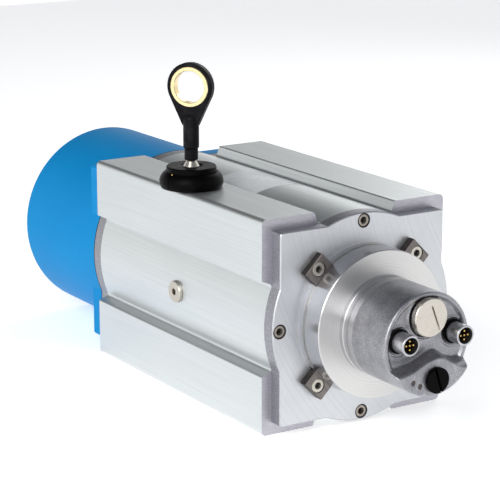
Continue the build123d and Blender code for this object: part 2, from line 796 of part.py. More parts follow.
# ---------------------------------------------------------------- inside the encoder
encoder_shaft_front_y = base_hub_y - 5.5
coupling_front_y = base_pocket_y + 2.6
coupling_length = 21.4
coupling_rear_y = coupling_front_y + coupling_length
coupling_radius = 11.0
coupling_web = 2.5              # how far each slit stops short of the coupling's far side
coupling_slit_width = 0.5
coupling_screw_radius = 1.5
coupling_screw_inset = 3.5
shaft_nose_radius = 5.0
shaft_front_y = coupling_front_y + 13.5
encoder_shaft_rear_y = coupling_front_y + 9.0

with BuildPart() as encoder_shaft:
    with BuildSketch(station(encoder_shaft_rear_y)):
        Circle(encoder_shaft_radius)
    extrude(amount=encoder_shaft_rear_y - encoder_shaft_front_y)
    with BuildSketch(station(encoder_shaft_front_y + 3.6)):
        Circle(6.0)
    extrude(amount=2.2)
    chamfer(encoder_shaft.faces().sort_by(Axis.Y)[0].edges(), 0.4)
encoder_shaft.part.label = "encoder_shaft"

with BuildPart() as code_disc:
    with BuildSketch(station(encoder_shaft_front_y + 1.4)):
        Circle(code_disc_radius)
        Circle(encoder_shaft_radius, mode=Mode.SUBTRACT)
    extrude(amount=code_disc_thickness)
code_disc.part.label = "code_disc"

encoder_ball_circle = (encoder_shaft_radius + encoder_bearing_outer_radius) / 2
encoder_outer_ring_height = encoder_bearing_outer_radius - encoder_ball_circle - 2.15
with BuildPart() as encoder_bearing_outer_rings:
    for y in encoder_bearing_places:
        with BuildSketch(shaft_section):
            with Locations((y + encoder_bearing_width / 2, encoder_ball_circle + 2.15)):
                Rectangle(encoder_bearing_width, 2 * encoder_outer_ring_height)
            with Locations((y + encoder_bearing_width / 2, encoder_ball_circle)):
                Circle(encoder_ball_radius + running_clearance, mode=Mode.SUBTRACT)
        revolve(axis=shaft_axis)
encoder_bearing_outer_rings.part.label = "encoder_bearing_outer_rings"

with BuildPart() as encoder_bearing_inner_rings:
    for y in encoder_bearing_places:
        with BuildSketch(shaft_section):
            inner_wall = encoder_ball_circle - 1.1 - encoder_shaft_radius
            with Locations((y + encoder_bearing_width / 2, encoder_shaft_radius + inner_wall / 2)):
                Rectangle(encoder_bearing_width, inner_wall)
            with Locations((y + encoder_bearing_width / 2, encoder_ball_circle)):
                Circle(encoder_ball_radius + running_clearance, mode=Mode.SUBTRACT)
        revolve(axis=shaft_axis)
encoder_bearing_inner_rings.part.label = "encoder_bearing_inner_rings"

with BuildPart() as encoder_bearing_balls:
    add(ball_ring(encoder_ball_radius, encoder_ball_circle, encoder_ball_count,
                  [y + encoder_bearing_width / 2 for y in encoder_bearing_places]))
encoder_bearing_balls.part.label = "encoder_bearing_balls"

board_y = encoder_shaft_front_y - 2.5
with BuildPart() as encoder_board:
    with BuildSketch(station(board_y)):
        Circle(board_radius)
    extrude(amount=board_thickness)
    with BuildSketch(station(board_y - board_thickness)):
        with Locations((-8, -8)):
            Rectangle(9, 9)
        with Locations((9, -10)):
            Rectangle(6, 4)
    extrude(amount=1.2)
    with BuildSketch(station(board_y)):
        with Locations((0, 14)):
            Rectangle(6, 5)
    extrude(amount=-1.4)
    with BuildSketch(station(board_y)):
        with Locations(*around(board_post_circle, 3, 30)):
            Circle(1.25 + thread_clearance)
    extrude(amount=board_thickness, mode=Mode.SUBTRACT)
encoder_board.part.label = "encoder_board"

board_posts_height = base_ring_y - board_y
with BuildPart() as board_posts:
    with BuildSketch(station(base_ring_y)):
        with Locations(*around(board_post_circle, 3, 30)):
            Circle(1.9)
    extrude(amount=board_posts_height)
    with BuildSketch(station(base_ring_y + 5.0)):
        with Locations(*around(board_post_circle, 3, 30)):
            Circle(1.25)
    extrude(amount=board_posts_height + 5.0 + board_thickness + 1.0)
board_posts.part.label = "board_posts"

# ---------------------------------------------------------------- shaft coupling
with BuildPart() as shaft_coupling:
    with BuildSketch(station(coupling_rear_y)):
        Circle(coupling_radius)
    extrude(amount=coupling_length)
    with BuildSketch(station(coupling_rear_y)):
        Circle(shaft_nose_radius)
    extrude(amount=coupling_rear_y - shaft_front_y + 0.5, mode=Mode.SUBTRACT)
    with BuildSketch(station(coupling_rear_y)):
        Circle(encoder_shaft_radius)
    extrude(amount=coupling_length, mode=Mode.SUBTRACT)
    # flexing cuts, each from the other side
    cut_places = [coupling_front_y + 8.0 + 1.6 * i for i in range(5)]
    for i, y in enumerate(cut_places):
        side = 1 if i % 2 else -1
        with BuildSketch(station(y)):
            with Locations((side * coupling_web, 0)):
                Rectangle(2 * coupling_radius, 2 * coupling_radius + 2)
        extrude(amount=coupling_slit_width, mode=Mode.SUBTRACT)
    # clamp screws' tapped holes
    with Locations(*[Plane(origin=(0, y, axis_z + coupling_radius), z_dir=(0, 0, 1))
                     for y in (coupling_front_y + coupling_screw_inset, coupling_rear_y - coupling_screw_inset)]):
        Hole(coupling_screw_radius + thread_clearance, depth=coupling_radius - 2.0)
shaft_coupling.part.label = "shaft_coupling"

with BuildPart() as coupling_screws:
    front_screw = (coupling_front_y + coupling_screw_inset, encoder_shaft_radius)
    rear_screw = (coupling_rear_y - coupling_screw_inset, shaft_nose_radius)
    for y, seat in (front_screw, rear_screw):
        with BuildSketch(Plane(origin=(0, y, axis_z + seat))):
            Circle(coupling_screw_radius)
        extrude(amount=coupling_radius - 0.5 - seat)
        with BuildSketch(Plane(origin=(0, y, axis_z + coupling_radius - 0.5))):
            RegularPolygon(across_flats(1.5), 6)
        extrude(amount=-1.6, mode=Mode.SUBTRACT)
coupling_screws.part.label = "coupling_screws"

# ---------------------------------------------------------------- drum shaft
journal_front_y = front_bearing_y + bearing_width
arbor_near_y = rear_plate_y + spring_start
arbor_far_y = arbor_near_y + arbor_length
shaft_rear_y = arbor_far_y + 4.0
hub_front_y = -drum_web_thickness / 2 + 1.0
hub_rear_y = hub_front_y + drum_hub_length
key_front_y = hub_front_y - 4.0
key_rear_y = hub_rear_y + drum_travel + 6.0
key_middle_y = (key_front_y + key_rear_y) / 2

with BuildPart() as drum_shaft:
    with BuildSketch(station(shaft_rear_y)):
        Circle(shaft_journal_radius)
    extrude(amount=shaft_rear_y - front_bearing_y)
    with BuildSketch(station(rear_bearing_y)):
        Circle(shaft_radius)
    extrude(amount=rear_bearing_y - journal_front_y)
    with BuildSketch(station(front_bearing_y)):
        Circle(shaft_nose_radius)
    extrude(amount=front_bearing_y - shaft_front_y)
    # key seats on two sides
    for side in (1, -1):
        key_seat = axis_z + side * (shaft_radius - key_depth)
        with BuildSketch(Plane(origin=(0, key_middle_y, key_seat))):
            SlotOverall(key_rear_y - key_front_y, key_width, rotation=90)
        extrude(amount=side * (key_depth + 2), mode=Mode.SUBTRACT)
    # cross hole for the arbor's pin
    with BuildSketch(Plane(origin=(0, (arbor_near_y + arbor_far_y) / 2, axis_z))):
        Circle(arbor_pin_radius)
    extrude(amount=shaft_journal_radius + 1, both=True, mode=Mode.SUBTRACT)
    chamfer(drum_shaft.faces().sort_by(Axis.Y)[0].edges(), 0.5)
drum_shaft.part.label = "drum_shaft"

with BuildPart() as feather_keys:
    for side in (1, -1):
        key_seat = axis_z + side * (shaft_radius - key_depth)
        with BuildSketch(Plane(origin=(0, key_middle_y, key_seat))):
            SlotOverall(key_rear_y - key_front_y, key_width, rotation=90)
        extrude(amount=side * (key_depth + key_height))
feather_keys.part.label = "feather_keys"

# ---------------------------------------------------------------- main bearings
ball_circle = (bearing_bore_radius + bearing_outer_radius) / 2
race_gap = 1.3                       # from the ball circle to each ring's shoulder
main_bearing_places = (front_bearing_y, rear_bearing_y)

with BuildPart() as main_bearing_outer_rings:
    for y in main_bearing_places:
        with BuildSketch(shaft_section):
            outer_wall = bearing_outer_radius - ball_circle - race_gap
            with Locations((y + bearing_width / 2, bearing_outer_radius - outer_wall / 2)):
                Rectangle(bearing_width, outer_wall)
            with Locations((y + bearing_width / 2, ball_circle)):
                Circle(bearing_ball_radius + running_clearance, mode=Mode.SUBTRACT)
        revolve(axis=shaft_axis)
main_bearing_outer_rings.part.label = "main_bearing_outer_rings"

with BuildPart() as main_bearing_inner_rings:
    for y in main_bearing_places:
        with BuildSketch(shaft_section):
            inner_wall = ball_circle - race_gap - bearing_bore_radius
            with Locations((y + bearing_width / 2, bearing_bore_radius + inner_wall / 2)):
                Rectangle(bearing_width, inner_wall)
            with Locations((y + bearing_width / 2, ball_circle)):
                Circle(bearing_ball_radius + running_clearance, mode=Mode.SUBTRACT)
        revolve(axis=shaft_axis)
main_bearing_inner_rings.part.label = "main_bearing_inner_rings"

with BuildPart() as main_bearing_balls:
    add(ball_ring(bearing_ball_radius, ball_circle, bearing_ball_count,
                  [y + bearing_width / 2 for y in main_bearing_places]))
main_bearing_balls.part.label = "main_bearing_balls"

with BuildPart() as bearing_circlip:
    with BuildSketch(station(rear_bearing_y)):
        Circle(bearing_outer_radius + circlip_groove_depth - 0.05)
        Circle(bearing_outer_radius - 1.6, mode=Mode.SUBTRACT)
        with Locations((0, -bearing_outer_radius)):
            Rectangle(7, 8, mode=Mode.SUBTRACT)
    extrude(amount=circlip_thickness)
bearing_circlip.part.label = "bearing_circlip"

# ---------------------------------------------------------------- traverse screw and nut
flange_front_y = front_y + spigot_length
flange_rear_y = flange_front_y + traverse_flange_thickness
nut_front_y = flange_rear_y + 4.0
nut_rear_y = nut_front_y + traverse_nut_length
sleeve_rear_y = nut_rear_y + drum_travel + 3.0
sleeve_bore = shaft_radius + traverse_bore_clearance

with BuildPart() as traverse_leadscrew:
    with BuildSketch(station(flange_rear_y)):
        Circle(traverse_flange_radius)
    extrude(amount=traverse_flange_thickness)
    with BuildSketch(station(sleeve_rear_y)):
        Circle(traverse_radius)
    extrude(amount=sleeve_rear_y - flange_rear_y)
    with BuildSketch(station(sleeve_rear_y)):
        Circle(sleeve_bore)
    extrude(amount=sleeve_rear_y - flange_front_y, mode=Mode.SUBTRACT)
    # room for the bearing's inner ring and balls
    with BuildSketch(station(flange_front_y + 1.0)):
        Circle(bearing_outer_radius - 1.6)
    extrude(amount=1.0, mode=Mode.SUBTRACT)
    # lip that holds the front bearing in its pocket
    with BuildSketch(station(flange_front_y)):
        Circle(bearing_outer_radius - running_clearance)
        Circle(bearing_outer_radius - 1.6, mode=Mode.SUBTRACT)
    extrude(amount=flange_front_y - front_bearing_y - bearing_width)
    with Locations(*[rear_station(flange_rear_y, x, z) for x, z in around(traverse_screw_circle, 4, 45)]):
        Hole(m4_clear_radius, depth=traverse_flange_thickness)
    chamfer(traverse_leadscrew.faces().sort_by(Axis.Y)[-1].edges(), 0.5)
traverse_leadscrew.part.label = "traverse_leadscrew"

with BuildPart() as leadscrew_screws:
    with Locations(*[rear_station(flange_rear_y, x, z) for x, z in around(traverse_screw_circle, 4, 45)]):
        add(cap_screw(m4_radius, m4_head_radius, 2.4, m4_socket, 12.0))
leadscrew_screws.part.label = "leadscrew_screws"

nut_outer_radius = traverse_radius + traverse_nut_wall
neck_radius = nut_outer_radius + neck_wall
with BuildPart() as traverse_nut:
    with BuildSketch(station(nut_rear_y)):
        Circle(nut_outer_radius)
        Circle(traverse_radius + running_clearance, mode=Mode.SUBTRACT)
    extrude(amount=traverse_nut_length)
    chamfer(traverse_nut.faces().sort_by(Axis.Y)[0].edges(), 0.5)
traverse_nut.part.label = "traverse_nut"

# ---------------------------------------------------------------- wire drum
winding_rear_y = -wire_radius
winding_front_y = winding_rear_y - winding_length
barrel_front_y = winding_front_y - drum_rim_width
barrel_rear_y = wire_pitch + drum_rim_width
web_front_y = barrel_rear_y - drum_web_thickness
with BuildPart() as wire_drum:
    with BuildSketch(shaft_section):
        with BuildLine():
            Polyline(
                (barrel_front_y, drum_inner_radius),
                (barrel_front_y, rim_radius),
                (barrel_front_y + drum_rim_width, rim_radius),
                (barrel_front_y + drum_rim_width, barrel_radius),
                (barrel_rear_y - drum_rim_width, barrel_radius),
                (barrel_rear_y - drum_rim_width, rim_radius),
                (barrel_rear_y, rim_radius),
                (barrel_rear_y, drum_hub_radius),
                (hub_rear_y, drum_hub_radius),
                (hub_rear_y, shaft_radius + running_clearance),
                (hub_front_y, shaft_radius + running_clearance),
                (hub_front_y, nut_outer_radius),
                (nut_front_y, nut_outer_radius),
                (nut_front_y, neck_radius),
                (web_front_y, neck_radius),
                (web_front_y, drum_inner_radius),
                close=True,
            )
        make_face()
    revolve(axis=shaft_axis)
    with BuildSketch(station(barrel_rear_y)):
        with Locations(*around((neck_radius + drum_inner_radius) / 2, 6)):
            Circle(drum_window_radius)
    extrude(amount=drum_web_thickness, mode=Mode.SUBTRACT)
    # keyways
    with BuildSketch(station(hub_rear_y)):
        Rectangle(key_width + 2 * running_clearance, 2 * (shaft_radius + key_height + 0.2))
    extrude(amount=drum_hub_length, mode=Mode.SUBTRACT)
    # hole for the wire's end
    with Locations(Plane(origin=(0, winding_front_y + wire_pitch, axis_z + barrel_radius))):
        Hole(wire_radius + 0.3, depth=8.0)
wire_drum.part.label = "wire_drum"

# Wound wire: one layer of turns side by side, each turn a full ring of the wire's section
turn_count = int(winding_length / wire_pitch)
with BuildPart() as wire_winding:
    with BuildSketch(shaft_section):
        with BuildLine():
            half = wire_pitch / 2
            crest = winding_radius + wire_radius
            valley = winding_radius + 0.25
            turn_tops = [winding_rear_y - half - wire_pitch * i for i in range(turn_count)]
            points = [(winding_rear_y, valley)]
            for top in turn_tops:
                points += [(top + 0.3, crest), (top - 0.3, crest), (top - half, valley)]
            last = points[-1][0]
            Polyline((winding_rear_y, barrel_radius), *points, (last, barrel_radius), close=True)
        make_face()
    revolve(axis=shaft_axis)
wire_winding.part.label = "wire_winding"

# ---------------------------------------------------------------- straight run of the wire
wire_start_z = axis_z + 6.5
with BuildPart() as measuring_wire:
    with BuildSketch(Plane(origin=(wire_x, 0, wire_start_z))):
        Circle(wire_radius)
    extrude(amount=stem_z + 3.0 - wire_start_z)
measuring_wire.part.label = "measuring_wire"

# ---------------------------------------------------------------- spring housing
cup_inner_radius = side_arc_radius - spring_housing_wall
end_boss_radius = 11.0
lug_screw_places = [(x, z) for x in (-lug_screw_offset, lug_screw_offset)
                    for z in (-lug_screw_offset, lug_screw_offset)]
strip_inner = arbor_radius + 0.3
spring_rear_y = arbor_near_y + (arbor_length + spring_strip_width) / 2
anchor_radius = cup_inner_radius - anchor_pin_radius - 0.6
strip_end = anchor_radius - anchor_pin_radius - spring_strip_thickness
spring_pitch = (strip_end - strip_inner) / spring_turns


def spiral_half(edge, half_turn):
    """Centre and radius of one half turn of the spring; even ones run above the middle."""
    middle = -spring_pitch / 4 if half_turn % 2 == 0 else spring_pitch / 4
    return middle, edge + spring_pitch * (half_turn / 2 + 0.25)
with BuildPart() as spring_housing_gasket:
    with BuildSketch(station(cup_start_y)):
        add(plate_outline())
        Circle(cup_inner_radius, mode=Mode.SUBTRACT)
        with GridLocations(2 * lug_screw_offset, 2 * lug_screw_offset, 2, 2):
            Circle(m5_clear_radius, mode=Mode.SUBTRACT)
    extrude(amount=spring_gasket_thickness)
spring_housing_gasket.part.label = "spring_housing_gasket"

with BuildPart() as spring_housing:
    with BuildSketch(station(cup_end_y)):
        Circle(side_arc_radius)
    extrude(amount=spring_housing_length)
    fillet(spring_housing.faces().sort_by(Axis.Y)[-1].edges(), spring_housing_edge_radius)
    # square flange with the four screw lugs
    with BuildSketch(station(cup_start_y + lug_length)) as lug_outline:
        Rectangle(2 * plate_half, 2 * plate_half)
        fillet(lug_outline.vertices(), plate_corner_radius)
    extrude(amount=lug_length)
    with BuildSketch(station(cup_end_y - spring_housing_wall)):
        Circle(cup_inner_radius)
    extrude(amount=spring_housing_length - spring_housing_wall, mode=Mode.SUBTRACT)
    # boss inside the closed end, round the shaft's end
    with BuildSketch(station(cup_end_y - spring_housing_wall)):
        Circle(end_boss_radius)
        Circle(shaft_journal_radius + 1.0, mode=Mode.SUBTRACT)
    extrude(amount=cup_end_y - spring_housing_wall - arbor_far_y - 1.0)
    # blind hole for the spring's anchor pin
    with Locations(station(cup_end_y - spring_housing_wall, anchor_radius, 0)):
        Hole(anchor_pin_radius, depth=spring_housing_wall - 1.2)
    with Locations(*[rear_station(cup_start_y + lug_length, x, z) for x, z in lug_screw_places]):
        CounterBoreHole(m5_clear_radius, counterbore_radius, counterbore_depth, depth=lug_length)
spring_housing.part.label = "spring_housing"

with BuildPart() as spring_housing_screws:
    seat_y = cup_start_y + lug_length - counterbore_depth
    with Locations(*[rear_station(seat_y, x, z) for x, z in lug_screw_places]):
        add(m5_screw(lug_length - counterbore_depth + plate_thickness - 0.5))
spring_housing_screws.part.label = "spring_housing_screws"

with BuildPart() as spring_anchor_pin:
    with BuildSketch(station(cup_end_y - 1.3)):
        with Locations((anchor_radius, 0)):
            Circle(anchor_pin_radius)
    extrude(amount=cup_end_y - 1.3 - arbor_near_y)
spring_anchor_pin.part.label = "spring_anchor_pin"

# Power spring: a flat strip wound from the arbor out to the anchor pin in half circles, each
# centred on one of two points so that the strip steps outwards by one pitch a turn
with BuildPart() as power_spring:
    with BuildSketch(station(spring_rear_y)):
        with BuildLine():
            for edge in (strip_inner, strip_inner + spring_strip_thickness):
                for half_turn in range(2 * spring_turns):
                    middle, radius = spiral_half(edge, half_turn)
                    sweep_up = half_turn % 2 == 0
                    CenterArc((middle, 0), radius, 0 if sweep_up else 180, 180)
            Line((strip_inner, 0), (strip_inner + spring_strip_thickness, 0))
            Line((strip_end, 0), (strip_end + spring_strip_thickness, 0))
        make_face()
    extrude(amount=spring_strip_width)
power_spring.part.label = "power_spring"

with BuildPart() as spring_arbor:
    with BuildSketch(station(arbor_far_y)):
        Circle(arbor_radius)
        Circle(shaft_journal_radius + running_clearance, mode=Mode.SUBTRACT)
    extrude(amount=arbor_length)
    chamfer(spring_arbor.edges().filter_by(GeomType.CIRCLE), 0.5)
    with BuildSketch(Plane(origin=(0, (arbor_near_y + arbor_far_y) / 2, axis_z))):
        Circle(arbor_pin_radius)
    extrude(amount=arbor_radius + 1, both=True, mode=Mode.SUBTRACT)
spring_arbor.part.label = "spring_arbor"

with BuildPart() as arbor_pin:
    with BuildSketch(Plane(origin=(0, (arbor_near_y + arbor_far_y) / 2, axis_z))):
        Circle(arbor_pin_radius)
    extrude(amount=arbor_radius - 0.4, both=True)
arbor_pin.part.label = "arbor_pin"

# ---------------------------------------------------------------- wire outlet


def outlet_seam_cut(depth_z, height):
    """Thin slab across the outlet, along the seam between the two halves of its seals."""
    with BuildPart() as slab:
        with BuildSketch(Plane(origin=(wire_x, 0, depth_z))):
            Rectangle(60, outlet_seam, rotation=outlet_seam_angle)
        extrude(amount=height)
    return slab.part


with BuildPart() as outlet_seal_ring:
    with BuildSketch(wire_section):
        with BuildLine():
            inner_wall = Line((guide_radius - 2.0, outlet_z), (guide_radius - 2.0, wiper_z))
            top = Line(inner_wall @ 1, (outlet_ring_radius - 3.1, wiper_z))
            bulge = ThreePointArc(
                top @ 1,
                (outlet_ring_radius, outlet_z + outlet_ring_height * 0.48),
                (outlet_ring_foot_radius, outlet_z),
            )
            Line(bulge @ 1, inner_wall @ 0)
        make_face()
    revolve(axis=wire_axis)
    add(outlet_seam_cut(outlet_z - 1, outlet_ring_height + 2), mode=Mode.SUBTRACT)
outlet_seal_ring.part.label = "outlet_seal_ring"

with BuildPart() as wiper_disc:
    with BuildSketch(wire_section):
        with BuildLine():
            Polyline(
                (wiper_bore_radius, wiper_z),
                (wiper_radius, wiper_z),
                (wiper_radius, wiper_top_z - 0.5),
                (wiper_radius - 0.5, wiper_top_z),
                (ferrule_foot_radius + 3.0, wiper_top_z),
                (ferrule_foot_radius + 0.5, wiper_top_z - wiper_dish_depth),
                (wiper_bore_radius, wiper_top_z - wiper_dish_depth),
                close=True,
            )
        make_face()
    revolve(axis=wire_axis)
    add(outlet_seam_cut(wiper_z - 1, wiper_height + 2), mode=Mode.SUBTRACT)
wiper_disc.part.label = "wiper_disc"

with BuildPart() as wire_guide_bush:
    with BuildSketch(Plane(origin=(wire_x, 0, outlet_z))):
        Circle(guide_head_radius)
    extrude(amount=-guide_head_length)
    with BuildSketch(Plane(origin=(wire_x, 0, outlet_z))):
        Circle(guide_radius)
    extrude(amount=-(outlet_z - guide_bottom_z))
    with BuildSketch(Plane(origin=(wire_x, 0, outlet_z))):
        Circle(guide_bore_radius)
    extrude(amount=-(outlet_z - guide_bottom_z), mode=Mode.SUBTRACT)
    chamfer(wire_guide_bush.edges().filter_by(GeomType.CIRCLE).sort_by(Axis.Z)[0], 0.8)
wire_guide_bush.part.label = "wire_guide_bush"

# ---------------------------------------------------------------- wire end
pin_foot_z = stem_z + stem_height - 2.0
pin_head_z = pin_foot_z + swivel_pin_length

with BuildPart() as wire_ferrule:
    with BuildSketch(wire_section):
        with BuildLine():
            Polyline(
                (wire_radius, ferrule_z),
                (ferrule_foot_radius, ferrule_z),
                (ferrule_foot_radius, ferrule_z + 0.5),
                (ferrule_tip_radius, stem_z),
                (wire_radius, stem_z),
                close=True,
            )
        make_face()
    revolve(axis=wire_axis)
wire_ferrule.part.label = "wire_ferrule"

with BuildPart() as swivel_stem:
    with BuildSketch(wire_section):
        with BuildLine():
            Polyline(
                (0, stem_z + 3.0),
                (wire_radius, stem_z + 3.0),
                (wire_radius, stem_z),
                (stem_radius - 0.4, stem_z),
                (stem_radius, stem_z + 0.4),
                (stem_radius, stem_z + stem_height - 0.3),
                (stem_radius - 0.3, stem_z + stem_height),
                (swivel_pin_radius, stem_z + stem_height),
                (swivel_pin_radius, pin_foot_z),
                (0, pin_foot_z),
                close=True,
            )
        make_face()
    revolve(axis=wire_axis)
swivel_stem.part.label = "swivel_stem"

with BuildPart() as swivel_pin:
    with BuildSketch(Plane(origin=(wire_x, 0, pin_foot_z))):
        Circle(swivel_pin_radius)
    extrude(amount=swivel_pin_length)
    with BuildSketch(Plane(origin=(wire_x, 0, pin_head_z))):
        Circle(swivel_head_radius)
    extrude(amount=swivel_head_height)
swivel_pin.part.label = "swivel_pin"

# ---------------------------------------------------------------- pull eye
yaw = radians(eye_yaw)
eye_normal = (sin(yaw), -cos(yaw), 0)
eye_across = (cos(yaw), sin(yaw), 0)
eye_middle = Plane(origin=(wire_x, 0, eye_z), x_dir=eye_across, z_dir=eye_normal)
eye_front = eye_middle.offset(eye_thickness / 2)
neck_half = shank_radius
# tangents from the shank's sides to the ring of the eye
neck_z = eye_z - 1.62 * eye_radius
neck_reach = sqrt(neck_half**2 + (eye_z - neck_z)**2)
tangent_turn = atan2(-(eye_z - neck_z), neck_half) + acos(eye_radius / neck_reach)
tangent_x = eye_radius * cos(tangent_turn)
tangent_z = eye_radius * sin(tangent_turn)

with BuildPart() as pull_eye:
    with BuildSketch(eye_front):
        Circle(eye_radius)
        Polygon(
            (-neck_half, neck_z - eye_z),
            (neck_half, neck_z - eye_z),
            (tangent_x, tangent_z),
            (-tangent_x, tangent_z),
            align=None,
        )
    extrude(amount=-eye_thickness)
    fillet(pull_eye.faces().filter_by(Axis((0, 0, 0), eye_normal)).edges(), eye_edge_radius)
    with BuildSketch(wire_section):
        with BuildLine():
            dome_middle_z = shank_dome_z - shank_radius
            side = Polyline(
                (0, shank_z),
                (shank_radius - shank_foot_chamfer, shank_z),
                (shank_radius, shank_z + shank_foot_chamfer),
                (shank_radius, dome_middle_z),
            )
            dome_mark = shank_radius * sin(radians(45))
            dome = ThreePointArc(side @ 1, (dome_mark, dome_middle_z + dome_mark), (0, shank_dome_z))
            Line(dome @ 1, side @ 0)
        make_face()
    revolve(axis=wire_axis)
    with BuildSketch(eye_front.offset(2)):
        Circle(bush_outer_radius)
    extrude(amount=-eye_thickness - 4, mode=Mode.SUBTRACT)
    # room for the swivel pin and its head
    with BuildSketch(wire_section):
        with BuildLine():
            Polyline(
                (0, shank_z),
                (swivel_pin_radius + swivel_gap, shank_z),
                (swivel_pin_radius + swivel_gap, pin_head_z - swivel_gap),
                (swivel_head_radius + swivel_gap, pin_head_z - swivel_gap),
                (swivel_head_radius + swivel_gap, pin_head_z + swivel_head_height + swivel_gap),
                (0, pin_head_z + swivel_head_height + swivel_gap),
                close=True,
            )
        make_face()
    revolve(axis=wire_axis, mode=Mode.SUBTRACT)
pull_eye.part.label = "pull_eye"

with BuildPart() as eye_bush:
    with BuildSketch(eye_middle.offset(bush_length / 2)):
        Circle(bush_outer_radius)
        Circle(bush_bore_radius, mode=Mode.SUBTRACT)
    extrude(amount=-bush_length)
    chamfer(eye_bush.edges().filter_by(GeomType.CIRCLE), 0.3)
eye_bush.part.label = "eye_bush"

# ---------------------------------------------------------------- side plug
washer_x = -sqrt(side_arc_radius**2 - side_plug_radius**2)
washer_plane = Plane(origin=(washer_x, 0, axis_z), z_dir=(-1, 0, 0))

with BuildPart() as side_plug_washer:
    with BuildSketch(washer_plane):
        Circle(side_plug_radius)
        Circle(side_plug_thread_radius + 0.1, mode=Mode.SUBTRACT)
    extrude(amount=side_plug_washer_thickness)
side_plug_washer.part.label = "side_plug_washer"

with BuildPart() as side_plug_screw:
    with BuildSketch(washer_plane.offset(side_plug_washer_thickness)):
        Circle(side_plug_radius - 0.2)
    extrude(amount=side_plug_head_height)
    chamfer(side_plug_screw.faces().sort_by(Axis.X)[0].edges(), 0.3)
    with BuildSketch(washer_plane.offset(side_plug_washer_thickness)):
        Circle(side_plug_thread_radius)
    extrude(amount=-(side_plug_washer_thickness + side_arc_radius - drum_bore_radius - 1.2))
    with BuildSketch(washer_plane.offset(side_plug_washer_thickness + side_plug_head_height)):
        RegularPolygon(across_flats(side_plug_socket), 6)
    extrude(amount=-4.0, mode=Mode.SUBTRACT)
side_plug_screw.part.label = "side_plug_screw"

# ---------------------------------------------------------------- rating label
with BuildPart() as rating_label:
    with BuildSketch(station(label_centre_y + label_length / 2)):
        Circle(side_arc_radius + label_thickness)
        Circle(side_arc_radius, mode=Mode.SUBTRACT)
        with Locations((label_centre_x, side_arc_radius)):
            Rectangle(label_width, 20, mode=Mode.INTERSECT)
    extrude(amount=label_length)
rating_label.part.label = "rating_label"

# ---------------------------------------------------------------- write them
os.makedirs("parts", exist_ok=True)
export_step(housing_profile.part, "parts/housing_profile.step")
export_step(front_end_plate.part, "parts/front_end_plate.step")
export_step(rear_end_plate.part, "parts/rear_end_plate.step")
export_step(plate_seal_rings.part, "parts/plate_seal_rings.step")
export_step(front_plate_screws.part, "parts/front_plate_screws.step")
export_step(rear_plate_screws.part, "parts/rear_plate_screws.step")
export_step(adapter_flange.part, "parts/adapter_flange.step")
export_step(flange_clamps.part, "parts/flange_clamps.step")
export_step(clamp_screws.part, "parts/clamp_screws.step")
export_step(encoder_base.part, "parts/encoder_base.step")
export_step(encoder_mount_screws.part, "parts/encoder_mount_screws.step")
export_step(encoder_housing.part, "parts/encoder_housing.step")
export_step(connector_sleeves.part, "parts/connector_sleeves.step")
export_step(connector_seal_rings.part, "parts/connector_seal_rings.step")
export_step(connector_inserts.part, "parts/connector_inserts.step")
export_step(connector_pins.part, "parts/connector_pins.step")
export_step(blanking_plug.part, "parts/blanking_plug.step")
export_step(plug_seal_ring.part, "parts/plug_seal_ring.step")
export_step(switch_cap.part, "parts/switch_cap.step")
export_step(light_pipes.part, "parts/light_pipes.step")
export_step(encoder_shaft.part, "parts/encoder_shaft.step")
export_step(code_disc.part, "parts/code_disc.step")
export_step(encoder_bearing_outer_rings.part, "parts/encoder_bearing_outer_rings.step")
export_step(encoder_bearing_inner_rings.part, "parts/encoder_bearing_inner_rings.step")
export_step(encoder_bearing_balls.part, "parts/encoder_bearing_balls.step")
export_step(encoder_board.part, "parts/encoder_board.step")
export_step(board_posts.part, "parts/board_posts.step")
export_step(shaft_coupling.part, "parts/shaft_coupling.step")
export_step(coupling_screws.part, "parts/coupling_screws.step")
export_step(drum_shaft.part, "parts/drum_shaft.step")
export_step(feather_keys.part, "parts/feather_keys.step")
export_step(main_bearing_outer_rings.part, "parts/main_bearing_outer_rings.step")
export_step(main_bearing_inner_rings.part, "parts/main_bearing_inner_rings.step")
export_step(main_bearing_balls.part, "parts/main_bearing_balls.step")
export_step(bearing_circlip.part, "parts/bearing_circlip.step")
export_step(traverse_leadscrew.part, "parts/traverse_leadscrew.step")
export_step(leadscrew_screws.part, "parts/leadscrew_screws.step")
export_step(traverse_nut.part, "parts/traverse_nut.step")
export_step(wire_drum.part, "parts/wire_drum.step")
export_step(wire_winding.part, "parts/wire_winding.step")
export_step(measuring_wire.part, "parts/measuring_wire.step")
export_step(spring_housing_gasket.part, "parts/spring_housing_gasket.step")
export_step(spring_housing.part, "parts/spring_housing.step")
export_step(spring_housing_screws.part, "parts/spring_housing_screws.step")
export_step(spring_anchor_pin.part, "parts/spring_anchor_pin.step")
export_step(power_spring.part, "parts/power_spring.step")
export_step(spring_arbor.part, "parts/spring_arbor.step")
export_step(arbor_pin.part, "parts/arbor_pin.step")
export_step(outlet_seal_ring.part, "parts/outlet_seal_ring.step")
export_step(wiper_disc.part, "parts/wiper_disc.step")
export_step(wire_guide_bush.part, "parts/wire_guide_bush.step")
export_step(wire_ferrule.part, "parts/wire_ferrule.step")
export_step(swivel_stem.part, "parts/swivel_stem.step")
export_step(swivel_pin.part, "parts/swivel_pin.step")
export_step(pull_eye.part, "parts/pull_eye.step")
export_step(eye_bush.part, "parts/eye_bush.step")
export_step(side_plug_washer.part, "parts/side_plug_washer.step")
export_step(side_plug_screw.part, "parts/side_plug_screw.step")
export_step(rating_label.part, "parts/rating_label.step")
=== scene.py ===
import math

import bmesh
import bpy
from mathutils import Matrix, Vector, noise


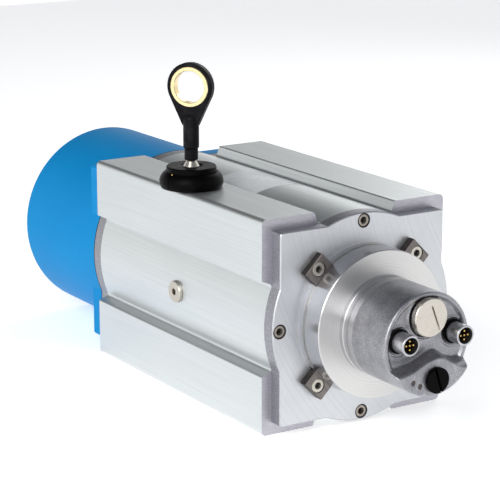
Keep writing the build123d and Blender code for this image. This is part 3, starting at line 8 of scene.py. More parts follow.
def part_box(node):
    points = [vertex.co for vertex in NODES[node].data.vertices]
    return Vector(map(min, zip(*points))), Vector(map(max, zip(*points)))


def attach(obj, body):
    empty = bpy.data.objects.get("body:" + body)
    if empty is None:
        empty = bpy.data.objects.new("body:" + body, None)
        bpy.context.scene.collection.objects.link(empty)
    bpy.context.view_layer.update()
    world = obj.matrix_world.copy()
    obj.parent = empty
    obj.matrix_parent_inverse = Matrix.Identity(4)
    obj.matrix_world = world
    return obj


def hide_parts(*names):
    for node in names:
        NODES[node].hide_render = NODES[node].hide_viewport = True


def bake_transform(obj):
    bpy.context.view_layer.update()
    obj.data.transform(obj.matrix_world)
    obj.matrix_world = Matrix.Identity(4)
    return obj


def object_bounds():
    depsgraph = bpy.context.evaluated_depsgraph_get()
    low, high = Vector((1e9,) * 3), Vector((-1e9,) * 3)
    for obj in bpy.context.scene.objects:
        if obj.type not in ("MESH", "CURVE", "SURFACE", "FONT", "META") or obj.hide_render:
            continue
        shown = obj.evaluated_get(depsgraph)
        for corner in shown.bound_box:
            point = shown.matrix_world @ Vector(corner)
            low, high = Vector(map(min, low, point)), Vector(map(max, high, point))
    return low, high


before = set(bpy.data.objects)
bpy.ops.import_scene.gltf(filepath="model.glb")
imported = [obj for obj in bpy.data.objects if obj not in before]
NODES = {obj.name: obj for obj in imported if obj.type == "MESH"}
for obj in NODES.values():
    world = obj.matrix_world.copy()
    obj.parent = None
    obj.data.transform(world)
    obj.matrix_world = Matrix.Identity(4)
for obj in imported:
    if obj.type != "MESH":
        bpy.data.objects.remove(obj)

bl_info = {
    "name": "Draw-wire encoder looks",
    "version": (1, 0, 0),
    "blender": (4, 5, 0),
    "location": "3D View > Sidebar > Draw-wire encoder",
    "description": "Finishes and fine pieces of a draw-wire encoder around its CAD frame",
    "category": "Object",
}

MM = 0.001
CAD_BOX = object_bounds()

# The shaft's axis runs along Y at this height, and the wire leaves along this vertical line
AXIS_Z = sum(corner.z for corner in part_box("drum_shaft")) / 2
WIRE_X = sum(corner.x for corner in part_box("measuring_wire")) / 2
ENCODER_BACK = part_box("encoder_housing")[1].y
ENCODER_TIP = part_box("encoder_housing")[0].y
ENCODER_RADIUS = (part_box("encoder_housing")[1].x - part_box("encoder_housing")[0].x) / 2


# ------------------------------------------------------------------ helpers

def linear(hex_code):
    """An sRGB hex colour as linear RGBA."""
    shares = [int(hex_code[i:i + 2], 16) / 255 for i in (1, 3, 5)]
    return (*[s / 12.92 if s <= 0.04045 else ((s + 0.055) / 1.055) ** 2.4 for s in shares], 1.0)


def add_node(tree, kind, sockets=(), **settings):
    """Adds a node with its settings. Sockets are values or outputs to link, in the order of the node's
    inputs or by their names or numbers."""
    added = tree.nodes.new(kind)
    for key, value in settings.items():
        setattr(added, key, value)
    for key, value in (sockets.items() if isinstance(sockets, dict) else enumerate(sockets)):
        if isinstance(value, bpy.types.NodeSocket):
            tree.links.new(value, added.inputs[key])
        else:
            added.inputs[key].default_value = value
    return added


def new_material(name, **sockets):
    """A material with one Principled shader; sockets are its constants, with _ for a space."""
    material = bpy.data.materials.new(name)
    material.use_nodes = True
    tree = material.node_tree
    tree.nodes.clear()
    shader = add_node(tree, "ShaderNodeBsdfPrincipled",
                      {key.replace("_", " "): value for key, value in sockets.items()})
    output = add_node(tree, "ShaderNodeOutputMaterial")
    tree.links.new(shader.outputs["BSDF"], output.inputs["Surface"])
    place = add_node(tree, "ShaderNodeTexCoord")
    return material, tree, shader, place


def per_size(size_mm):
    """Scales along X, Y and Z that make one step of a pattern size_mm long."""
    return tuple(1 / (size * MM) for size in size_mm)


def grain(tree, place, size_mm, detail=2.0, roughness=0.5):
    """Irregular grain whose spots are size_mm along X, Y and Z of the object."""
    scaled = add_node(tree, "ShaderNodeMapping",
                      {"Vector": place.outputs["Object"], "Scale": per_size(size_mm)})
    spots = add_node(tree, "ShaderNodeTexNoise",
                     {"Vector": scaled.outputs[0], "Scale": 1.0, "Detail": detail, "Roughness": roughness})
    return spots.outputs[0]


def facing_along(tree, place, axis, low=0.6, high=0.8):
    """1 on faces that look along an axis of the object, 0 on the others."""
    split = add_node(tree, "ShaderNodeSeparateXYZ", {0: place.outputs["Normal"]})
    return add_node(tree, "ShaderNodeMapRange",
        (
            add_node(tree, "ShaderNodeMath", (split.outputs[axis],), operation="ABSOLUTE").outputs[0],
            low,
            high,
            0.0,
            1.0,
        )).outputs[0]


def from_shaft(tree, place, x=0.0, z=0.0):
    """Distance in metres from a line along Y, at x and z from the shaft's axis."""
    split = add_node(tree, "ShaderNodeSeparateXYZ", {0: place.outputs["Object"]})
    across = add_node(tree, "ShaderNodeMath", (split.outputs[0], x), operation="SUBTRACT").outputs[0]
    up = add_node(tree, "ShaderNodeMath", (split.outputs[2], AXIS_Z + z), operation="SUBTRACT").outputs[0]
    return add_node(tree, "ShaderNodeMath",
        (
            add_node(tree, "ShaderNodeMath",
                (
                    add_node(tree, "ShaderNodeMath", (across, across), operation="MULTIPLY").outputs[0],
                    add_node(tree, "ShaderNodeMath", (up, up), operation="MULTIPLY").outputs[0],
                ),
                operation="ADD").outputs[0],
        ),
        operation="SQRT").outputs[0]


def sockets_of(tree, place, circle_mm, diagonal, reach_mm=2.2, rim_mm=None):
    """1 inside the hexagon sockets of four screws round the shaft, and past their heads' bright rims: where
    shade is painted.
    """
    split = add_node(tree, "ShaderNodeSeparateXYZ", {0: place.outputs["Object"]})
    across = add_node(tree, "ShaderNodeMath", (split.outputs[0],), operation="ABSOLUTE").outputs[0]
    up = add_node(tree, "ShaderNodeMath",
        (add_node(tree, "ShaderNodeMath", (split.outputs[2], AXIS_Z), operation="SUBTRACT").outputs[0],),
        operation="ABSOLUTE").outputs[0]
    share = math.sqrt(0.5) if diagonal else 1.0
    far = add_node(tree, "ShaderNodeMath",
        (
            add_node(tree, "ShaderNodeMath", (across, up), operation="MAXIMUM").outputs[0],
            circle_mm * share * MM,
        ),
        operation="SUBTRACT").outputs[0]
    near = add_node(tree, "ShaderNodeMath",
        (
            add_node(tree, "ShaderNodeMath", (across, up), operation="MINIMUM").outputs[0],
            circle_mm * share * MM if diagonal else 0.0,
        ),
        operation="SUBTRACT").outputs[0]
    away = add_node(tree, "ShaderNodeMath",
        (
            add_node(tree, "ShaderNodeMath",
                (
                    add_node(tree, "ShaderNodeMath", (far, far), operation="MULTIPLY").outputs[0],
                    add_node(tree, "ShaderNodeMath", (near, near), operation="MULTIPLY").outputs[0],
                ),
                operation="ADD").outputs[0],
        ),
        operation="SQRT").outputs[0]
    inside = add_node(tree, "ShaderNodeMapRange",
        (away, (reach_mm - 0.25) * MM, (reach_mm + 0.15) * MM, 1.0, 0.0)).outputs[0]
    if rim_mm is None:
        return inside
    return add_node(tree, "ShaderNodeMath",
        (
            inside,
            add_node(tree, "ShaderNodeMapRange",
                (away, (rim_mm - 0.2) * MM, (rim_mm + 0.2) * MM, 0.0, 1.0)).outputs[0],
        ),
        operation="MAXIMUM").outputs[0]


def shade_painted_sockets(material, mask, colour="#0C0A0A"):
    """Darkens a screw's colour and dulls it in the mask: painted shade in its socket and round its head."""
    tree = material.node_tree
    shader = next(n for n in tree.nodes if n.bl_idname == "ShaderNodeBsdfPrincipled")
    for name, value in (("Base Color", linear(colour)), ("Metallic", 0.0)):
        socket = shader.inputs[name]
        before = socket.links[0].from_socket if socket.is_linked else socket.default_value
        if name == "Base Color":
            tree.links.new(
                add_node(tree, "ShaderNodeMix",
                    {0: mask, 6: before, 7: value}, data_type="RGBA").outputs[2],
                socket)
        else:
            tree.links.new(
                add_node(tree, "ShaderNodeMapRange", (mask, 0.0, 1.0, before, value)).outputs[0], socket)
    return material


def rings(tree, radius, spacing_mm, detail=3.0):
    """Irregular concentric rings, about spacing_mm apart."""
    return add_node(tree, "ShaderNodeTexNoise",
        {
            "W": add_node(tree, "ShaderNodeMath", (radius, spacing_mm * MM), operation="DIVIDE").outputs[0],
            "Scale": 1.0,
            "Detail": detail,
        },
        noise_dimensions="1D").outputs[0]


def paint(material, *names):
    """Gives CAD nodes one material."""
    for name in names:
        piece = NODES[name]
        piece.data.materials.clear()
        piece.data.materials.append(material)


def settle(name, vertices, faces, material, body, smooth_angle=35.0):
    """Makes a mesh piece, shades it, gives it its material and its body."""
    mesh = bpy.data.meshes.new(name)
    mesh.from_pydata([tuple(v) for v in vertices], [], faces)
    shell = bmesh.new()
    shell.from_mesh(mesh)
    bmesh.ops.remove_doubles(shell, verts=shell.verts, dist=1e-7)
    bmesh.ops.recalc_face_normals(shell, faces=shell.faces)
    shell.to_mesh(mesh)
    shell.free()
    mesh.shade_smooth()
    mesh.set_sharp_from_angle(angle=math.radians(smooth_angle))
    piece = bpy.data.objects.new(name, mesh)
    bpy.context.scene.collection.objects.link(piece)
    mesh.materials.append(material)
    if body is not None:
        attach(piece, body)
    return piece


def smooth_step(t):
    t = min(max(t, 0.0), 1.0)
    return t * t * (3 - 2 * t)


def ring_grid(ring_points, closed_ends=True):
    """Vertices and faces of rings of equal count joined one to the next; end rings are capped."""
    count = len(ring_points[0])
    vertices = [point for ring in ring_points for point in ring]
    faces = []
    for row in range(len(ring_points) - 1):
        for i in range(count):
            j = (i + 1) % count
            faces.append((row * count + i, row * count + j, (row + 1) * count + j, (row + 1) * count + i))
    if closed_ends:
        last = (len(ring_points) - 1) * count
        faces.append(tuple(range(count))[::-1])
        faces.append(tuple(last + i for i in range(count)))
    return vertices, faces


# ------------------------------------------------------------------ settings

class EncoderStageSettings(bpy.types.PropertyGroup):
    """Floor, light and camera."""
    floor_colour: bpy.props.FloatVectorProperty(
        name="Floor", description="Colour of the plain floor", subtype="COLOR", size=3,
        default=linear("#FBFBFB")[:3])
    sky: bpy.props.FloatProperty(
        name="Fill", description="Strength of the even light from all round", default=1.04, min=0.0)
    key_power: bpy.props.FloatProperty(
        name="Key light", description="Power of the large light at the left", default=16.0, min=0.0)
    rim_power: bpy.props.FloatProperty(
        name="Rim light", description="Power of the light behind on the right", default=3.0, min=0.0)
    lens: bpy.props.FloatProperty(
        name="Lens", description="Focal length for a 36 mm wide sensor", default=142.96, unit="CAMERA")
    turn: bpy.props.FloatProperty(
        name="Camera turn", description="Camera's turn round the upright axis", subtype="ANGLE",
        default=math.radians(-32.518))
    rise: bpy.props.FloatProperty(
        name="Camera rise", description="How far the camera looks down", subtype="ANGLE",
        default=math.radians(14.195))
    camera_place: bpy.props.FloatVectorProperty(
        name="Camera place", description="Where the camera stands", subtype="TRANSLATION", unit="LENGTH",
        size=3, default=(-0.6613, -1.021764, 0.390509))


class EncoderFinishSettings(bpy.types.PropertyGroup):
    """Colours and grain of the finishes."""
    profile_colour: bpy.props.FloatVectorProperty(
        name="Profile", description="Clear anodised extrusion", subtype="COLOR", size=3,
        default=linear("#D7DBDB")[:3])
    die_line: bpy.props.FloatProperty(
        name="Die lines", description="Spacing of the extrusion's die lines, in millimetres",
        default=0.9, min=0.05)
    cup_colour: bpy.props.FloatVectorProperty(
        name="Spring housing", description="Moulded blue", subtype="COLOR", size=3,
        default=linear("#0086C4")[:3])
    casting_colour: bpy.props.FloatVectorProperty(
        name="Casting", description="Blasted die casting", subtype="COLOR", size=3,
        default=linear("#B6B6BA")[:3])
    casting_grain: bpy.props.FloatProperty(
        name="Casting grain", description="Size of the blasted grain, in millimetres", default=0.45, min=0.05)


class EncoderPieceSettings(bpy.types.PropertyGroup):
    """Sizes of the fine pieces that are added to the CAD frame."""
    strand_radius: bpy.props.FloatProperty(
        name="Strand radius", description="Radius of each strand of the measuring wire", unit="LENGTH",
        default=0.225 * MM, min=0.0, precision=5)
    lay_length: bpy.props.FloatProperty(
        name="Lay", description="Length of one turn of the wire's strands", unit="LENGTH",
        default=12 * MM, min=0.001, precision=4)
    casting_step: bpy.props.FloatProperty(
        name="Casting mesh", description="Mesh step on the casting's front", unit="LENGTH",
        default=0.35 * MM, min=0.0001, precision=5)
    hump_height: bpy.props.FloatProperty(
        name="Hump", description="Height of the switch hump above the casting's face", unit="LENGTH",
        default=8.7 * MM, min=0.0, precision=4)


def settings(context):
    return context.scene.draw_wire_encoder_finish


# ------------------------------------------------------------------ materials

def clear_anodised_extrusion(finish):
    """Extruded aluminium, clear anodised: even, satin and pale, with faint die lines along its length
    and a darker, duller sawn face at each end."""
    material, tree, shader, place = new_material(
        "clear_anodised_extrusion", Metallic=1.0)
    lines = grain(tree, place, (finish.die_line, 90, finish.die_line), 3.0)
    clouds = grain(tree, place, (40, 60, 40), 2.0)
    pale = (*finish.profile_colour, 1.0)
    dull = linear("#C6CBCC")
    body = add_node(tree, "ShaderNodeMix",
        {
            0: add_node(tree, "ShaderNodeMapRange", (lines, 0.35, 0.7, 0.0, 0.35)).outputs[0],
            6: pale,
            7: dull,
        },
        data_type="RGBA").outputs[2]
    body = add_node(tree, "ShaderNodeMix",
        {
            0: add_node(tree, "ShaderNodeMapRange", (clouds, 0.4, 0.7, 0.0, 0.25)).outputs[0],
            6: body,
            7: linear("#CDD2D3"),
        },
        data_type="RGBA").outputs[2]
    sawn = grain(tree, place, (6, 1, 0.7), 4.0)
    end_face = facing_along(tree, place, 1)
    cut = add_node(tree, "ShaderNodeMix",
        {
            0: add_node(tree, "ShaderNodeMapRange", (sawn, 0.3, 0.7, 0.0, 1.0)).outputs[0],
            6: linear("#B6B4BC"),
            7: linear("#CAC8CF"),
        },
        data_type="RGBA").outputs[2]
    tree.links.new(
        add_node(tree, "ShaderNodeMix", {0: end_face, 6: body, 7: cut}, data_type="RGBA").outputs[2],
        shader.inputs["Base Color"])
    tree.links.new(
        add_node(tree, "ShaderNodeMapRange", (lines, 0.3, 0.7, 0.36, 0.48)).outputs[0],
        shader.inputs["Roughness"])
    tree.links.new(
        add_node(tree, "ShaderNodeBump", {"Height": lines, "Distance": 0.012 * MM}).outputs[0],
        shader.inputs["Normal"])
    return material


def milled_aluminium(name, pale, dull, edge_dark, edge_pale):
    """Aluminium plate, milled flat and bead blasted: a pale, even face with faint cutter arcs, and
    edges that are greyer and mottled."""
    material, tree, shader, place = new_material(name, Metallic=1.0)
    arcs = rings(tree, from_shaft(tree, place, 0.18, 0.11), 1.6)
    clouds = grain(tree, place, (16, 16, 16), 4.0)
    fine = grain(tree, place, (0.7, 0.7, 0.7), 2.0)
    face = add_node(tree, "ShaderNodeMix",
        {
            0: add_node(tree, "ShaderNodeMapRange", (arcs, 0.35, 0.65, 0.0, 0.5)).outputs[0],
            6: linear(pale),
            7: linear(dull),
        },
        data_type="RGBA").outputs[2]
    face = add_node(tree, "ShaderNodeMix",
        {
            0: add_node(tree, "ShaderNodeMapRange", (clouds, 0.45, 0.7, 0.0, 0.4)).outputs[0],
            6: face,
            7: linear(dull),
        },
        data_type="RGBA").outputs[2]
    mottle = grain(tree, place, (1.1, 1.1, 1.1), 4.0)
    edge = add_node(tree, "ShaderNodeMix",
        {
            0: add_node(tree, "ShaderNodeMapRange", (mottle, 0.35, 0.65, 0.0, 1.0)).outputs[0],
            6: linear(edge_dark),
            7: linear(edge_pale),
        },
        data_type="RGBA").outputs[2]
    front = facing_along(tree, place, 1)
    tree.links.new(
        add_node(tree, "ShaderNodeMix", {0: front, 6: edge, 7: face}, data_type="RGBA").outputs[2],
        shader.inputs["Base Color"])
    tree.links.new(
        add_node(tree, "ShaderNodeMapRange", (fine, 0.3, 0.7, 0.38, 0.52)).outputs[0],
        shader.inputs["Roughness"])
    tree.links.new(
        add_node(tree, "ShaderNodeBump",
            {
                "Height": fine,
                "Distance": 0.01 * MM,
                "Normal": add_node(tree, "ShaderNodeBump",
                    {"Height": arcs, "Distance": 0.006 * MM}).outputs[0],
            }).outputs[0],
        shader.inputs["Normal"])
    return material


def turned_aluminium(name, pale, dull, side_pale="#BDBDC1", side_dull="#A4A4A9", side_roughness=0.22,
                     face_roughness=0.36):
    """Aluminium turned on a lathe: fine rings on its faces spread a soft fan of light, and its cylindrical
    sides are greyer, with sharp bands; the greyer side colours are painted shade for the darker reflections
    along the sides."""
    material, tree, shader, place = new_material(
        name, Metallic=1.0, Anisotropic=0.75, Anisotropic_Rotation=0.25)
    radius = from_shaft(tree, place)
    face_rings = rings(tree, radius, 0.5)
    split = add_node(tree, "ShaderNodeSeparateXYZ", {0: place.outputs["Object"]})
    side_rings = rings(tree, split.outputs[1], 0.45)
    front = facing_along(tree, place, 1)
    marks = add_node(tree, "ShaderNodeMix", {0: front, 2: side_rings, 3: face_rings}).outputs[0]
    face = add_node(tree, "ShaderNodeMix",
        {
            0: add_node(tree, "ShaderNodeMapRange", (marks, 0.35, 0.65, 0.0, 0.5)).outputs[0],
            6: linear(pale),
            7: linear(dull),
        },
        data_type="RGBA").outputs[2]
    # Painted shade: the sides get greyer copies of the face colours
    side = add_node(tree, "ShaderNodeMix",
        {
            0: add_node(tree, "ShaderNodeMapRange", (marks, 0.35, 0.65, 0.0, 0.5)).outputs[0],
            6: linear(side_pale),
            7: linear(side_dull),
        },
        data_type="RGBA").outputs[2]
    tree.links.new(
        add_node(tree, "ShaderNodeMix", {0: front, 6: side, 7: face}, data_type="RGBA").outputs[2],
        shader.inputs["Base Color"])
    rough = add_node(tree, "ShaderNodeMapRange",
        (front, 0.0, 1.0, side_roughness, face_roughness)).outputs[0]
    tree.links.new(
        add_node(tree, "ShaderNodeMath",
            (rough, add_node(tree, "ShaderNodeMapRange", (marks, 0.3, 0.7, -0.04, 0.05)).outputs[0]),
            operation="ADD").outputs[0],
        shader.inputs["Roughness"])
    tree.links.new(
        add_node(tree, "ShaderNodeBump", {"Height": marks, "Distance": 0.0012 * MM}).outputs[0],
        shader.inputs["Normal"])
    tangent = add_node(tree, "ShaderNodeTangent", direction_type="RADIAL", axis="Y")
    tree.links.new(tangent.outputs[0], shader.inputs["Tangent"])
    return material


def blasted_die_casting(finish):
    """Die-cast aluminium, shot blasted and sealed: mid grey with a fine grain, painted glints (pale spots)
    for its sparkle, and darker clouds where the casting skin is rougher."""
    material, tree, shader, place = new_material("blasted_die_casting", Metallic=1.0)
    size = finish.casting_grain
    fine = grain(tree, place, (size, size, size), 3.0, roughness=0.65)
    sparkle = add_node(tree, "ShaderNodeTexVoronoi",
        {
            "Vector": add_node(tree, "ShaderNodeMapping",
                {
                    "Vector": place.outputs["Object"],
                    "Scale": per_size((size * 1.6, size * 1.6, size * 1.6)),
                }).outputs[0],
            "Scale": 1.0,
        })
    glints = add_node(tree, "ShaderNodeSeparateXYZ", {0: sparkle.outputs["Color"]}).outputs[0]
    clouds = grain(tree, place, (9, 9, 9), 3.0)
    body = add_node(tree, "ShaderNodeMix",
        {
            0: add_node(tree, "ShaderNodeMapRange", (fine, 0.3, 0.7, 0.0, 1.0)).outputs[0],
            6: linear("#828287"),
            7: (*finish.casting_colour, 1.0),
        },
        data_type="RGBA").outputs[2]
    # Painted glints: pale Voronoi spots mixed into the colour stand for light catching the blasted grain
    body = add_node(tree, "ShaderNodeMix",
        {
            0: add_node(tree, "ShaderNodeMapRange", (glints, 0.8, 1.0, 0.0, 0.5)).outputs[0],
            6: body,
            7: linear("#D6D6D8"),
        },
        data_type="RGBA").outputs[2]
    body = add_node(tree, "ShaderNodeMix",
        {
            0: add_node(tree, "ShaderNodeMapRange", (clouds, 0.45, 0.7, 0.0, 0.35)).outputs[0],
            6: body,
            7: linear("#6F6F76"),
        },
        data_type="RGBA").outputs[2]
    tree.links.new(body, shader.inputs["Base Color"])
    tree.links.new(
        add_node(tree, "ShaderNodeMapRange", (glints, 0.0, 1.0, 0.34, 0.52)).outputs[0],
        shader.inputs["Roughness"])
    tree.links.new(
        add_node(tree, "ShaderNodeBump", {"Height": fine, "Distance": 0.05 * MM}).outputs[0],
        shader.inputs["Normal"])
    return material


def moulded_blue(finish):
    """Glass-filled polyamide, moulded and coloured through: an even satin blue with a fine spark
    eroded grain and very faint flow clouds."""
    material, tree, shader, place = new_material("moulded_blue_polyamide", IOR=1.53,
                                                 Specular_IOR_Level=0.05)
    fine = grain(tree, place, (0.5, 0.5, 0.5), 2.0)
    flow = grain(tree, place, (45, 70, 45), 3.0)
    blue = (*finish.cup_colour, 1.0)
    tree.links.new(
        add_node(tree, "ShaderNodeMix",
            {
                0: add_node(tree, "ShaderNodeMapRange", (flow, 0.35, 0.7, 0.0, 0.5)).outputs[0],
                6: blue,
                7: linear("#007CBC"),
            },
            data_type="RGBA").outputs[2],
        shader.inputs["Base Color"])
    tree.links.new(
        add_node(tree, "ShaderNodeMapRange", (fine, 0.3, 0.7, 0.38, 0.5)).outputs[0],
        shader.inputs["Roughness"])
    tree.links.new(
        add_node(tree, "ShaderNodeBump", {"Height": fine, "Distance": 0.012 * MM}).outputs[0],
        shader.inputs["Normal"])
    return material


def black_moulding(name, colour, roughness, grain_mm, depth_mm, ior=1.5, dust="#171617"):
    """A black rubber or plastic moulding: nearly black, with a soft sheen and a little pale dust
    caught in its grain."""
    material, tree, shader, place = new_material(name, IOR=ior, Specular_IOR_Level=0.05)
    fine = grain(tree, place, (grain_mm, grain_mm, grain_mm), 3.0)
    clouds = grain(tree, place, (6, 6, 6), 3.0)
    tree.links.new(
        add_node(tree, "ShaderNodeMix",
            {
                0: add_node(tree, "ShaderNodeMapRange", (clouds, 0.45, 0.75, 0.0, 0.45)).outputs[0],
                6: linear(colour),
                7: linear(dust),
            },
            data_type="RGBA").outputs[2],
        shader.inputs["Base Color"])
    tree.links.new(
        add_node(tree, "ShaderNodeMapRange",
            (fine, 0.3, 0.7, roughness - 0.06, roughness + 0.08)).outputs[0],
        shader.inputs["Roughness"])
    tree.links.new(
        add_node(tree, "ShaderNodeBump", {"Height": fine, "Distance": depth_mm * MM}).outputs[0],
        shader.inputs["Normal"])
    return material


def plain_metal(name, pale, dull, low, high, mark_mm=(0.6, 0.6, 0.6), depth_mm=0.004):
    """A machined or plated metal: its own colour, broken by fine tool marks and slight tarnish."""
    material, tree, shader, place = new_material(name, Metallic=1.0)
    marks = grain(tree, place, mark_mm, 3.0)
    tarnish = grain(tree, place, (7, 7, 7), 3.0)
    body = add_node(tree, "ShaderNodeMix",
        {
            0: add_node(tree, "ShaderNodeMapRange", (marks, 0.35, 0.65, 0.0, 0.6)).outputs[0],
            6: linear(pale),
            7: linear(dull),
        },
        data_type="RGBA").outputs[2]
    body = add_node(tree, "ShaderNodeMix",
        {
            0: add_node(tree, "ShaderNodeMapRange", (tarnish, 0.5, 0.75, 0.0, 0.5)).outputs[0],
            6: body,
            7: linear(dull),
        },
        data_type="RGBA").outputs[2]
    tree.links.new(body, shader.inputs["Base Color"])
    tree.links.new(
        add_node(tree, "ShaderNodeMapRange", (marks, 0.3, 0.7, low, high)).outputs[0],
        shader.inputs["Roughness"])
    tree.links.new(
        add_node(tree, "ShaderNodeBump", {"Height": marks, "Distance": depth_mm * MM}).outputs[0],
        shader.inputs["Normal"])
    return material


def stranded_wire_steel():
    """Stainless wire rope: bright strands that lie at a slant, with dark lines of painted shade between them.
    """
    material, tree, shader, place = new_material("stranded_wire_steel", Metallic=1.0)
    wave = add_node(tree, "ShaderNodeTexWave",
        {
            "Vector": add_node(tree, "ShaderNodeMapping",
                {"Vector": place.outputs["Object"], "Scale": per_size((1.6, 1.6, 1.6))}).outputs[0],
            "Scale": 0.5,
            "Distortion": 0.6,
            "Detail": 2.0,
        },
        wave_type="BANDS", bands_direction="DIAGONAL")
    strands = wave.outputs["Fac"]
    tree.links.new(
        # Painted shade: the dark bands stand for the shade in the grooves between strands
        add_node(tree, "ShaderNodeMix",
            {0: strands, 6: linear("#6B6C6E"), 7: linear("#C9CACB")}, data_type="RGBA").outputs[2],
        shader.inputs["Base Color"])
    tree.links.new(
        add_node(tree, "ShaderNodeMapRange", (strands, 0.0, 1.0, 0.45, 0.25)).outputs[0],
        shader.inputs["Roughness"])
    tree.links.new(
        add_node(tree, "ShaderNodeBump", {"Height": strands, "Distance": 0.05 * MM}).outputs[0],
        shader.inputs["Normal"])
    return material


def circuit_board_mask():
    """Green solder mask over copper tracks, with dark packages where the parts stand proud."""
    material, tree, shader, place = new_material("circuit_board_mask", IOR=1.55)
    cells = add_node(tree, "ShaderNodeTexBrick",
        {
            "Vector": add_node(tree, "ShaderNodeMapping",
                {"Vector": place.outputs["Object"], "Scale": per_size((5, 5, 5))}).outputs[0],
            "Scale": 1.0,
            "Mortar Size": 0.06,
            "Color1": linear("#0F4A2A"),
            "Color2": linear("#12572F"),
            "Mortar": linear("#2E7A46"),
        })
    fine = grain(tree, place, (0.8, 0.8, 0.8))
    tree.links.new(cells.outputs["Color"], shader.inputs["Base Color"])
    tree.links.new(
        add_node(tree, "ShaderNodeMapRange", (fine, 0.3, 0.7, 0.25, 0.4)).outputs[0],
        shader.inputs["Roughness"])
    tree.links.new(
        add_node(tree, "ShaderNodeBump",
            {"Height": cells.outputs["Fac"], "Distance": 0.03 * MM}).outputs[0],
        shader.inputs["Normal"])
    return material


def coded_film():
    """Glass code disc with chrome tracks: dark, glossy, with fine rings of bright marks."""
    material, tree, shader, place = new_material("coded_film", IOR=1.52, Metallic=0.4)
    split = add_node(tree, "ShaderNodeSeparateXYZ", {0: place.outputs["Object"]})
    up = add_node(tree, "ShaderNodeMath", (split.outputs[2], AXIS_Z), operation="SUBTRACT").outputs[0]
    angle = add_node(tree, "ShaderNodeMath", (up, split.outputs[0]), operation="ARCTAN2").outputs[0]
    marks = add_node(tree, "ShaderNodeMath",
        (
            add_node(tree, "ShaderNodeMath",
                (add_node(tree, "ShaderNodeMath", (angle, 90.0), operation="MULTIPLY").outputs[0],),
                operation="SINE").outputs[0],
            0.0,
        ),
        operation="GREATER_THAN").outputs[0]
    radius = from_shaft(tree, place)
    track = add_node(tree, "ShaderNodeMath",
        (add_node(tree, "ShaderNodeMath", (radius, 14 * MM), operation="GREATER_THAN").outputs[0], marks),
        operation="MULTIPLY").outputs[0]
    tree.links.new(
        add_node(tree, "ShaderNodeMix",
            {0: track, 6: linear("#1B1C20"), 7: linear("#B9BBC0")}, data_type="RGBA").outputs[2],
        shader.inputs["Base Color"])
    fine = grain(tree, place, (2, 2, 2))
    tree.links.new(
        add_node(tree, "ShaderNodeMapRange", (fine, 0.3, 0.7, 0.12, 0.2)).outputs[0],
        shader.inputs["Roughness"])
    return material


def printed_film():
    """Polyester label film: smooth, slightly glossy white with a faint waviness."""
    material, tree, shader, place = new_material("label_film", IOR=1.57)
    waves = grain(tree, place, (9, 9, 9), 2.0)
    tree.links.new(
        add_node(tree, "ShaderNodeMix",
            {
                0: add_node(tree, "ShaderNodeMapRange", (waves, 0.4, 0.7, 0.0, 0.5)).outputs[0],
                6: linear("#D9DCDD"),
                7: linear("#CDD0D2"),
            },
            data_type="RGBA").outputs[2],
        shader.inputs["Base Color"])
    tree.links.new(
        add_node(tree, "ShaderNodeMapRange", (waves, 0.3, 0.7, 0.25, 0.36)).outputs[0],
        shader.inputs["Roughness"])
    tree.links.new(
        add_node(tree, "ShaderNodeBump", {"Height": waves, "Distance": 0.05 * MM}).outputs[0],
        shader.inputs["Normal"])
    return material


def smoky_light_guide():
    """Smoky polycarbonate light guide: dark brown, clear and glossy, and softly uneven inside."""
    material, tree, shader, place = new_material("smoky_light_guide", IOR=1.585, Roughness=0.12)
    shader.inputs["Transmission Weight"].default_value = 0.25
    depth = grain(tree, place, (1.2, 1.2, 1.2), 2.0)
    tree.links.new(
        add_node(tree, "ShaderNodeMix",
            {0: depth, 6: linear("#2E2222"), 7: linear("#4E3E3C")}, data_type="RGBA").outputs[2],
        shader.inputs["Base Color"])
    return material


# ------------------------------------------------------------------ operators

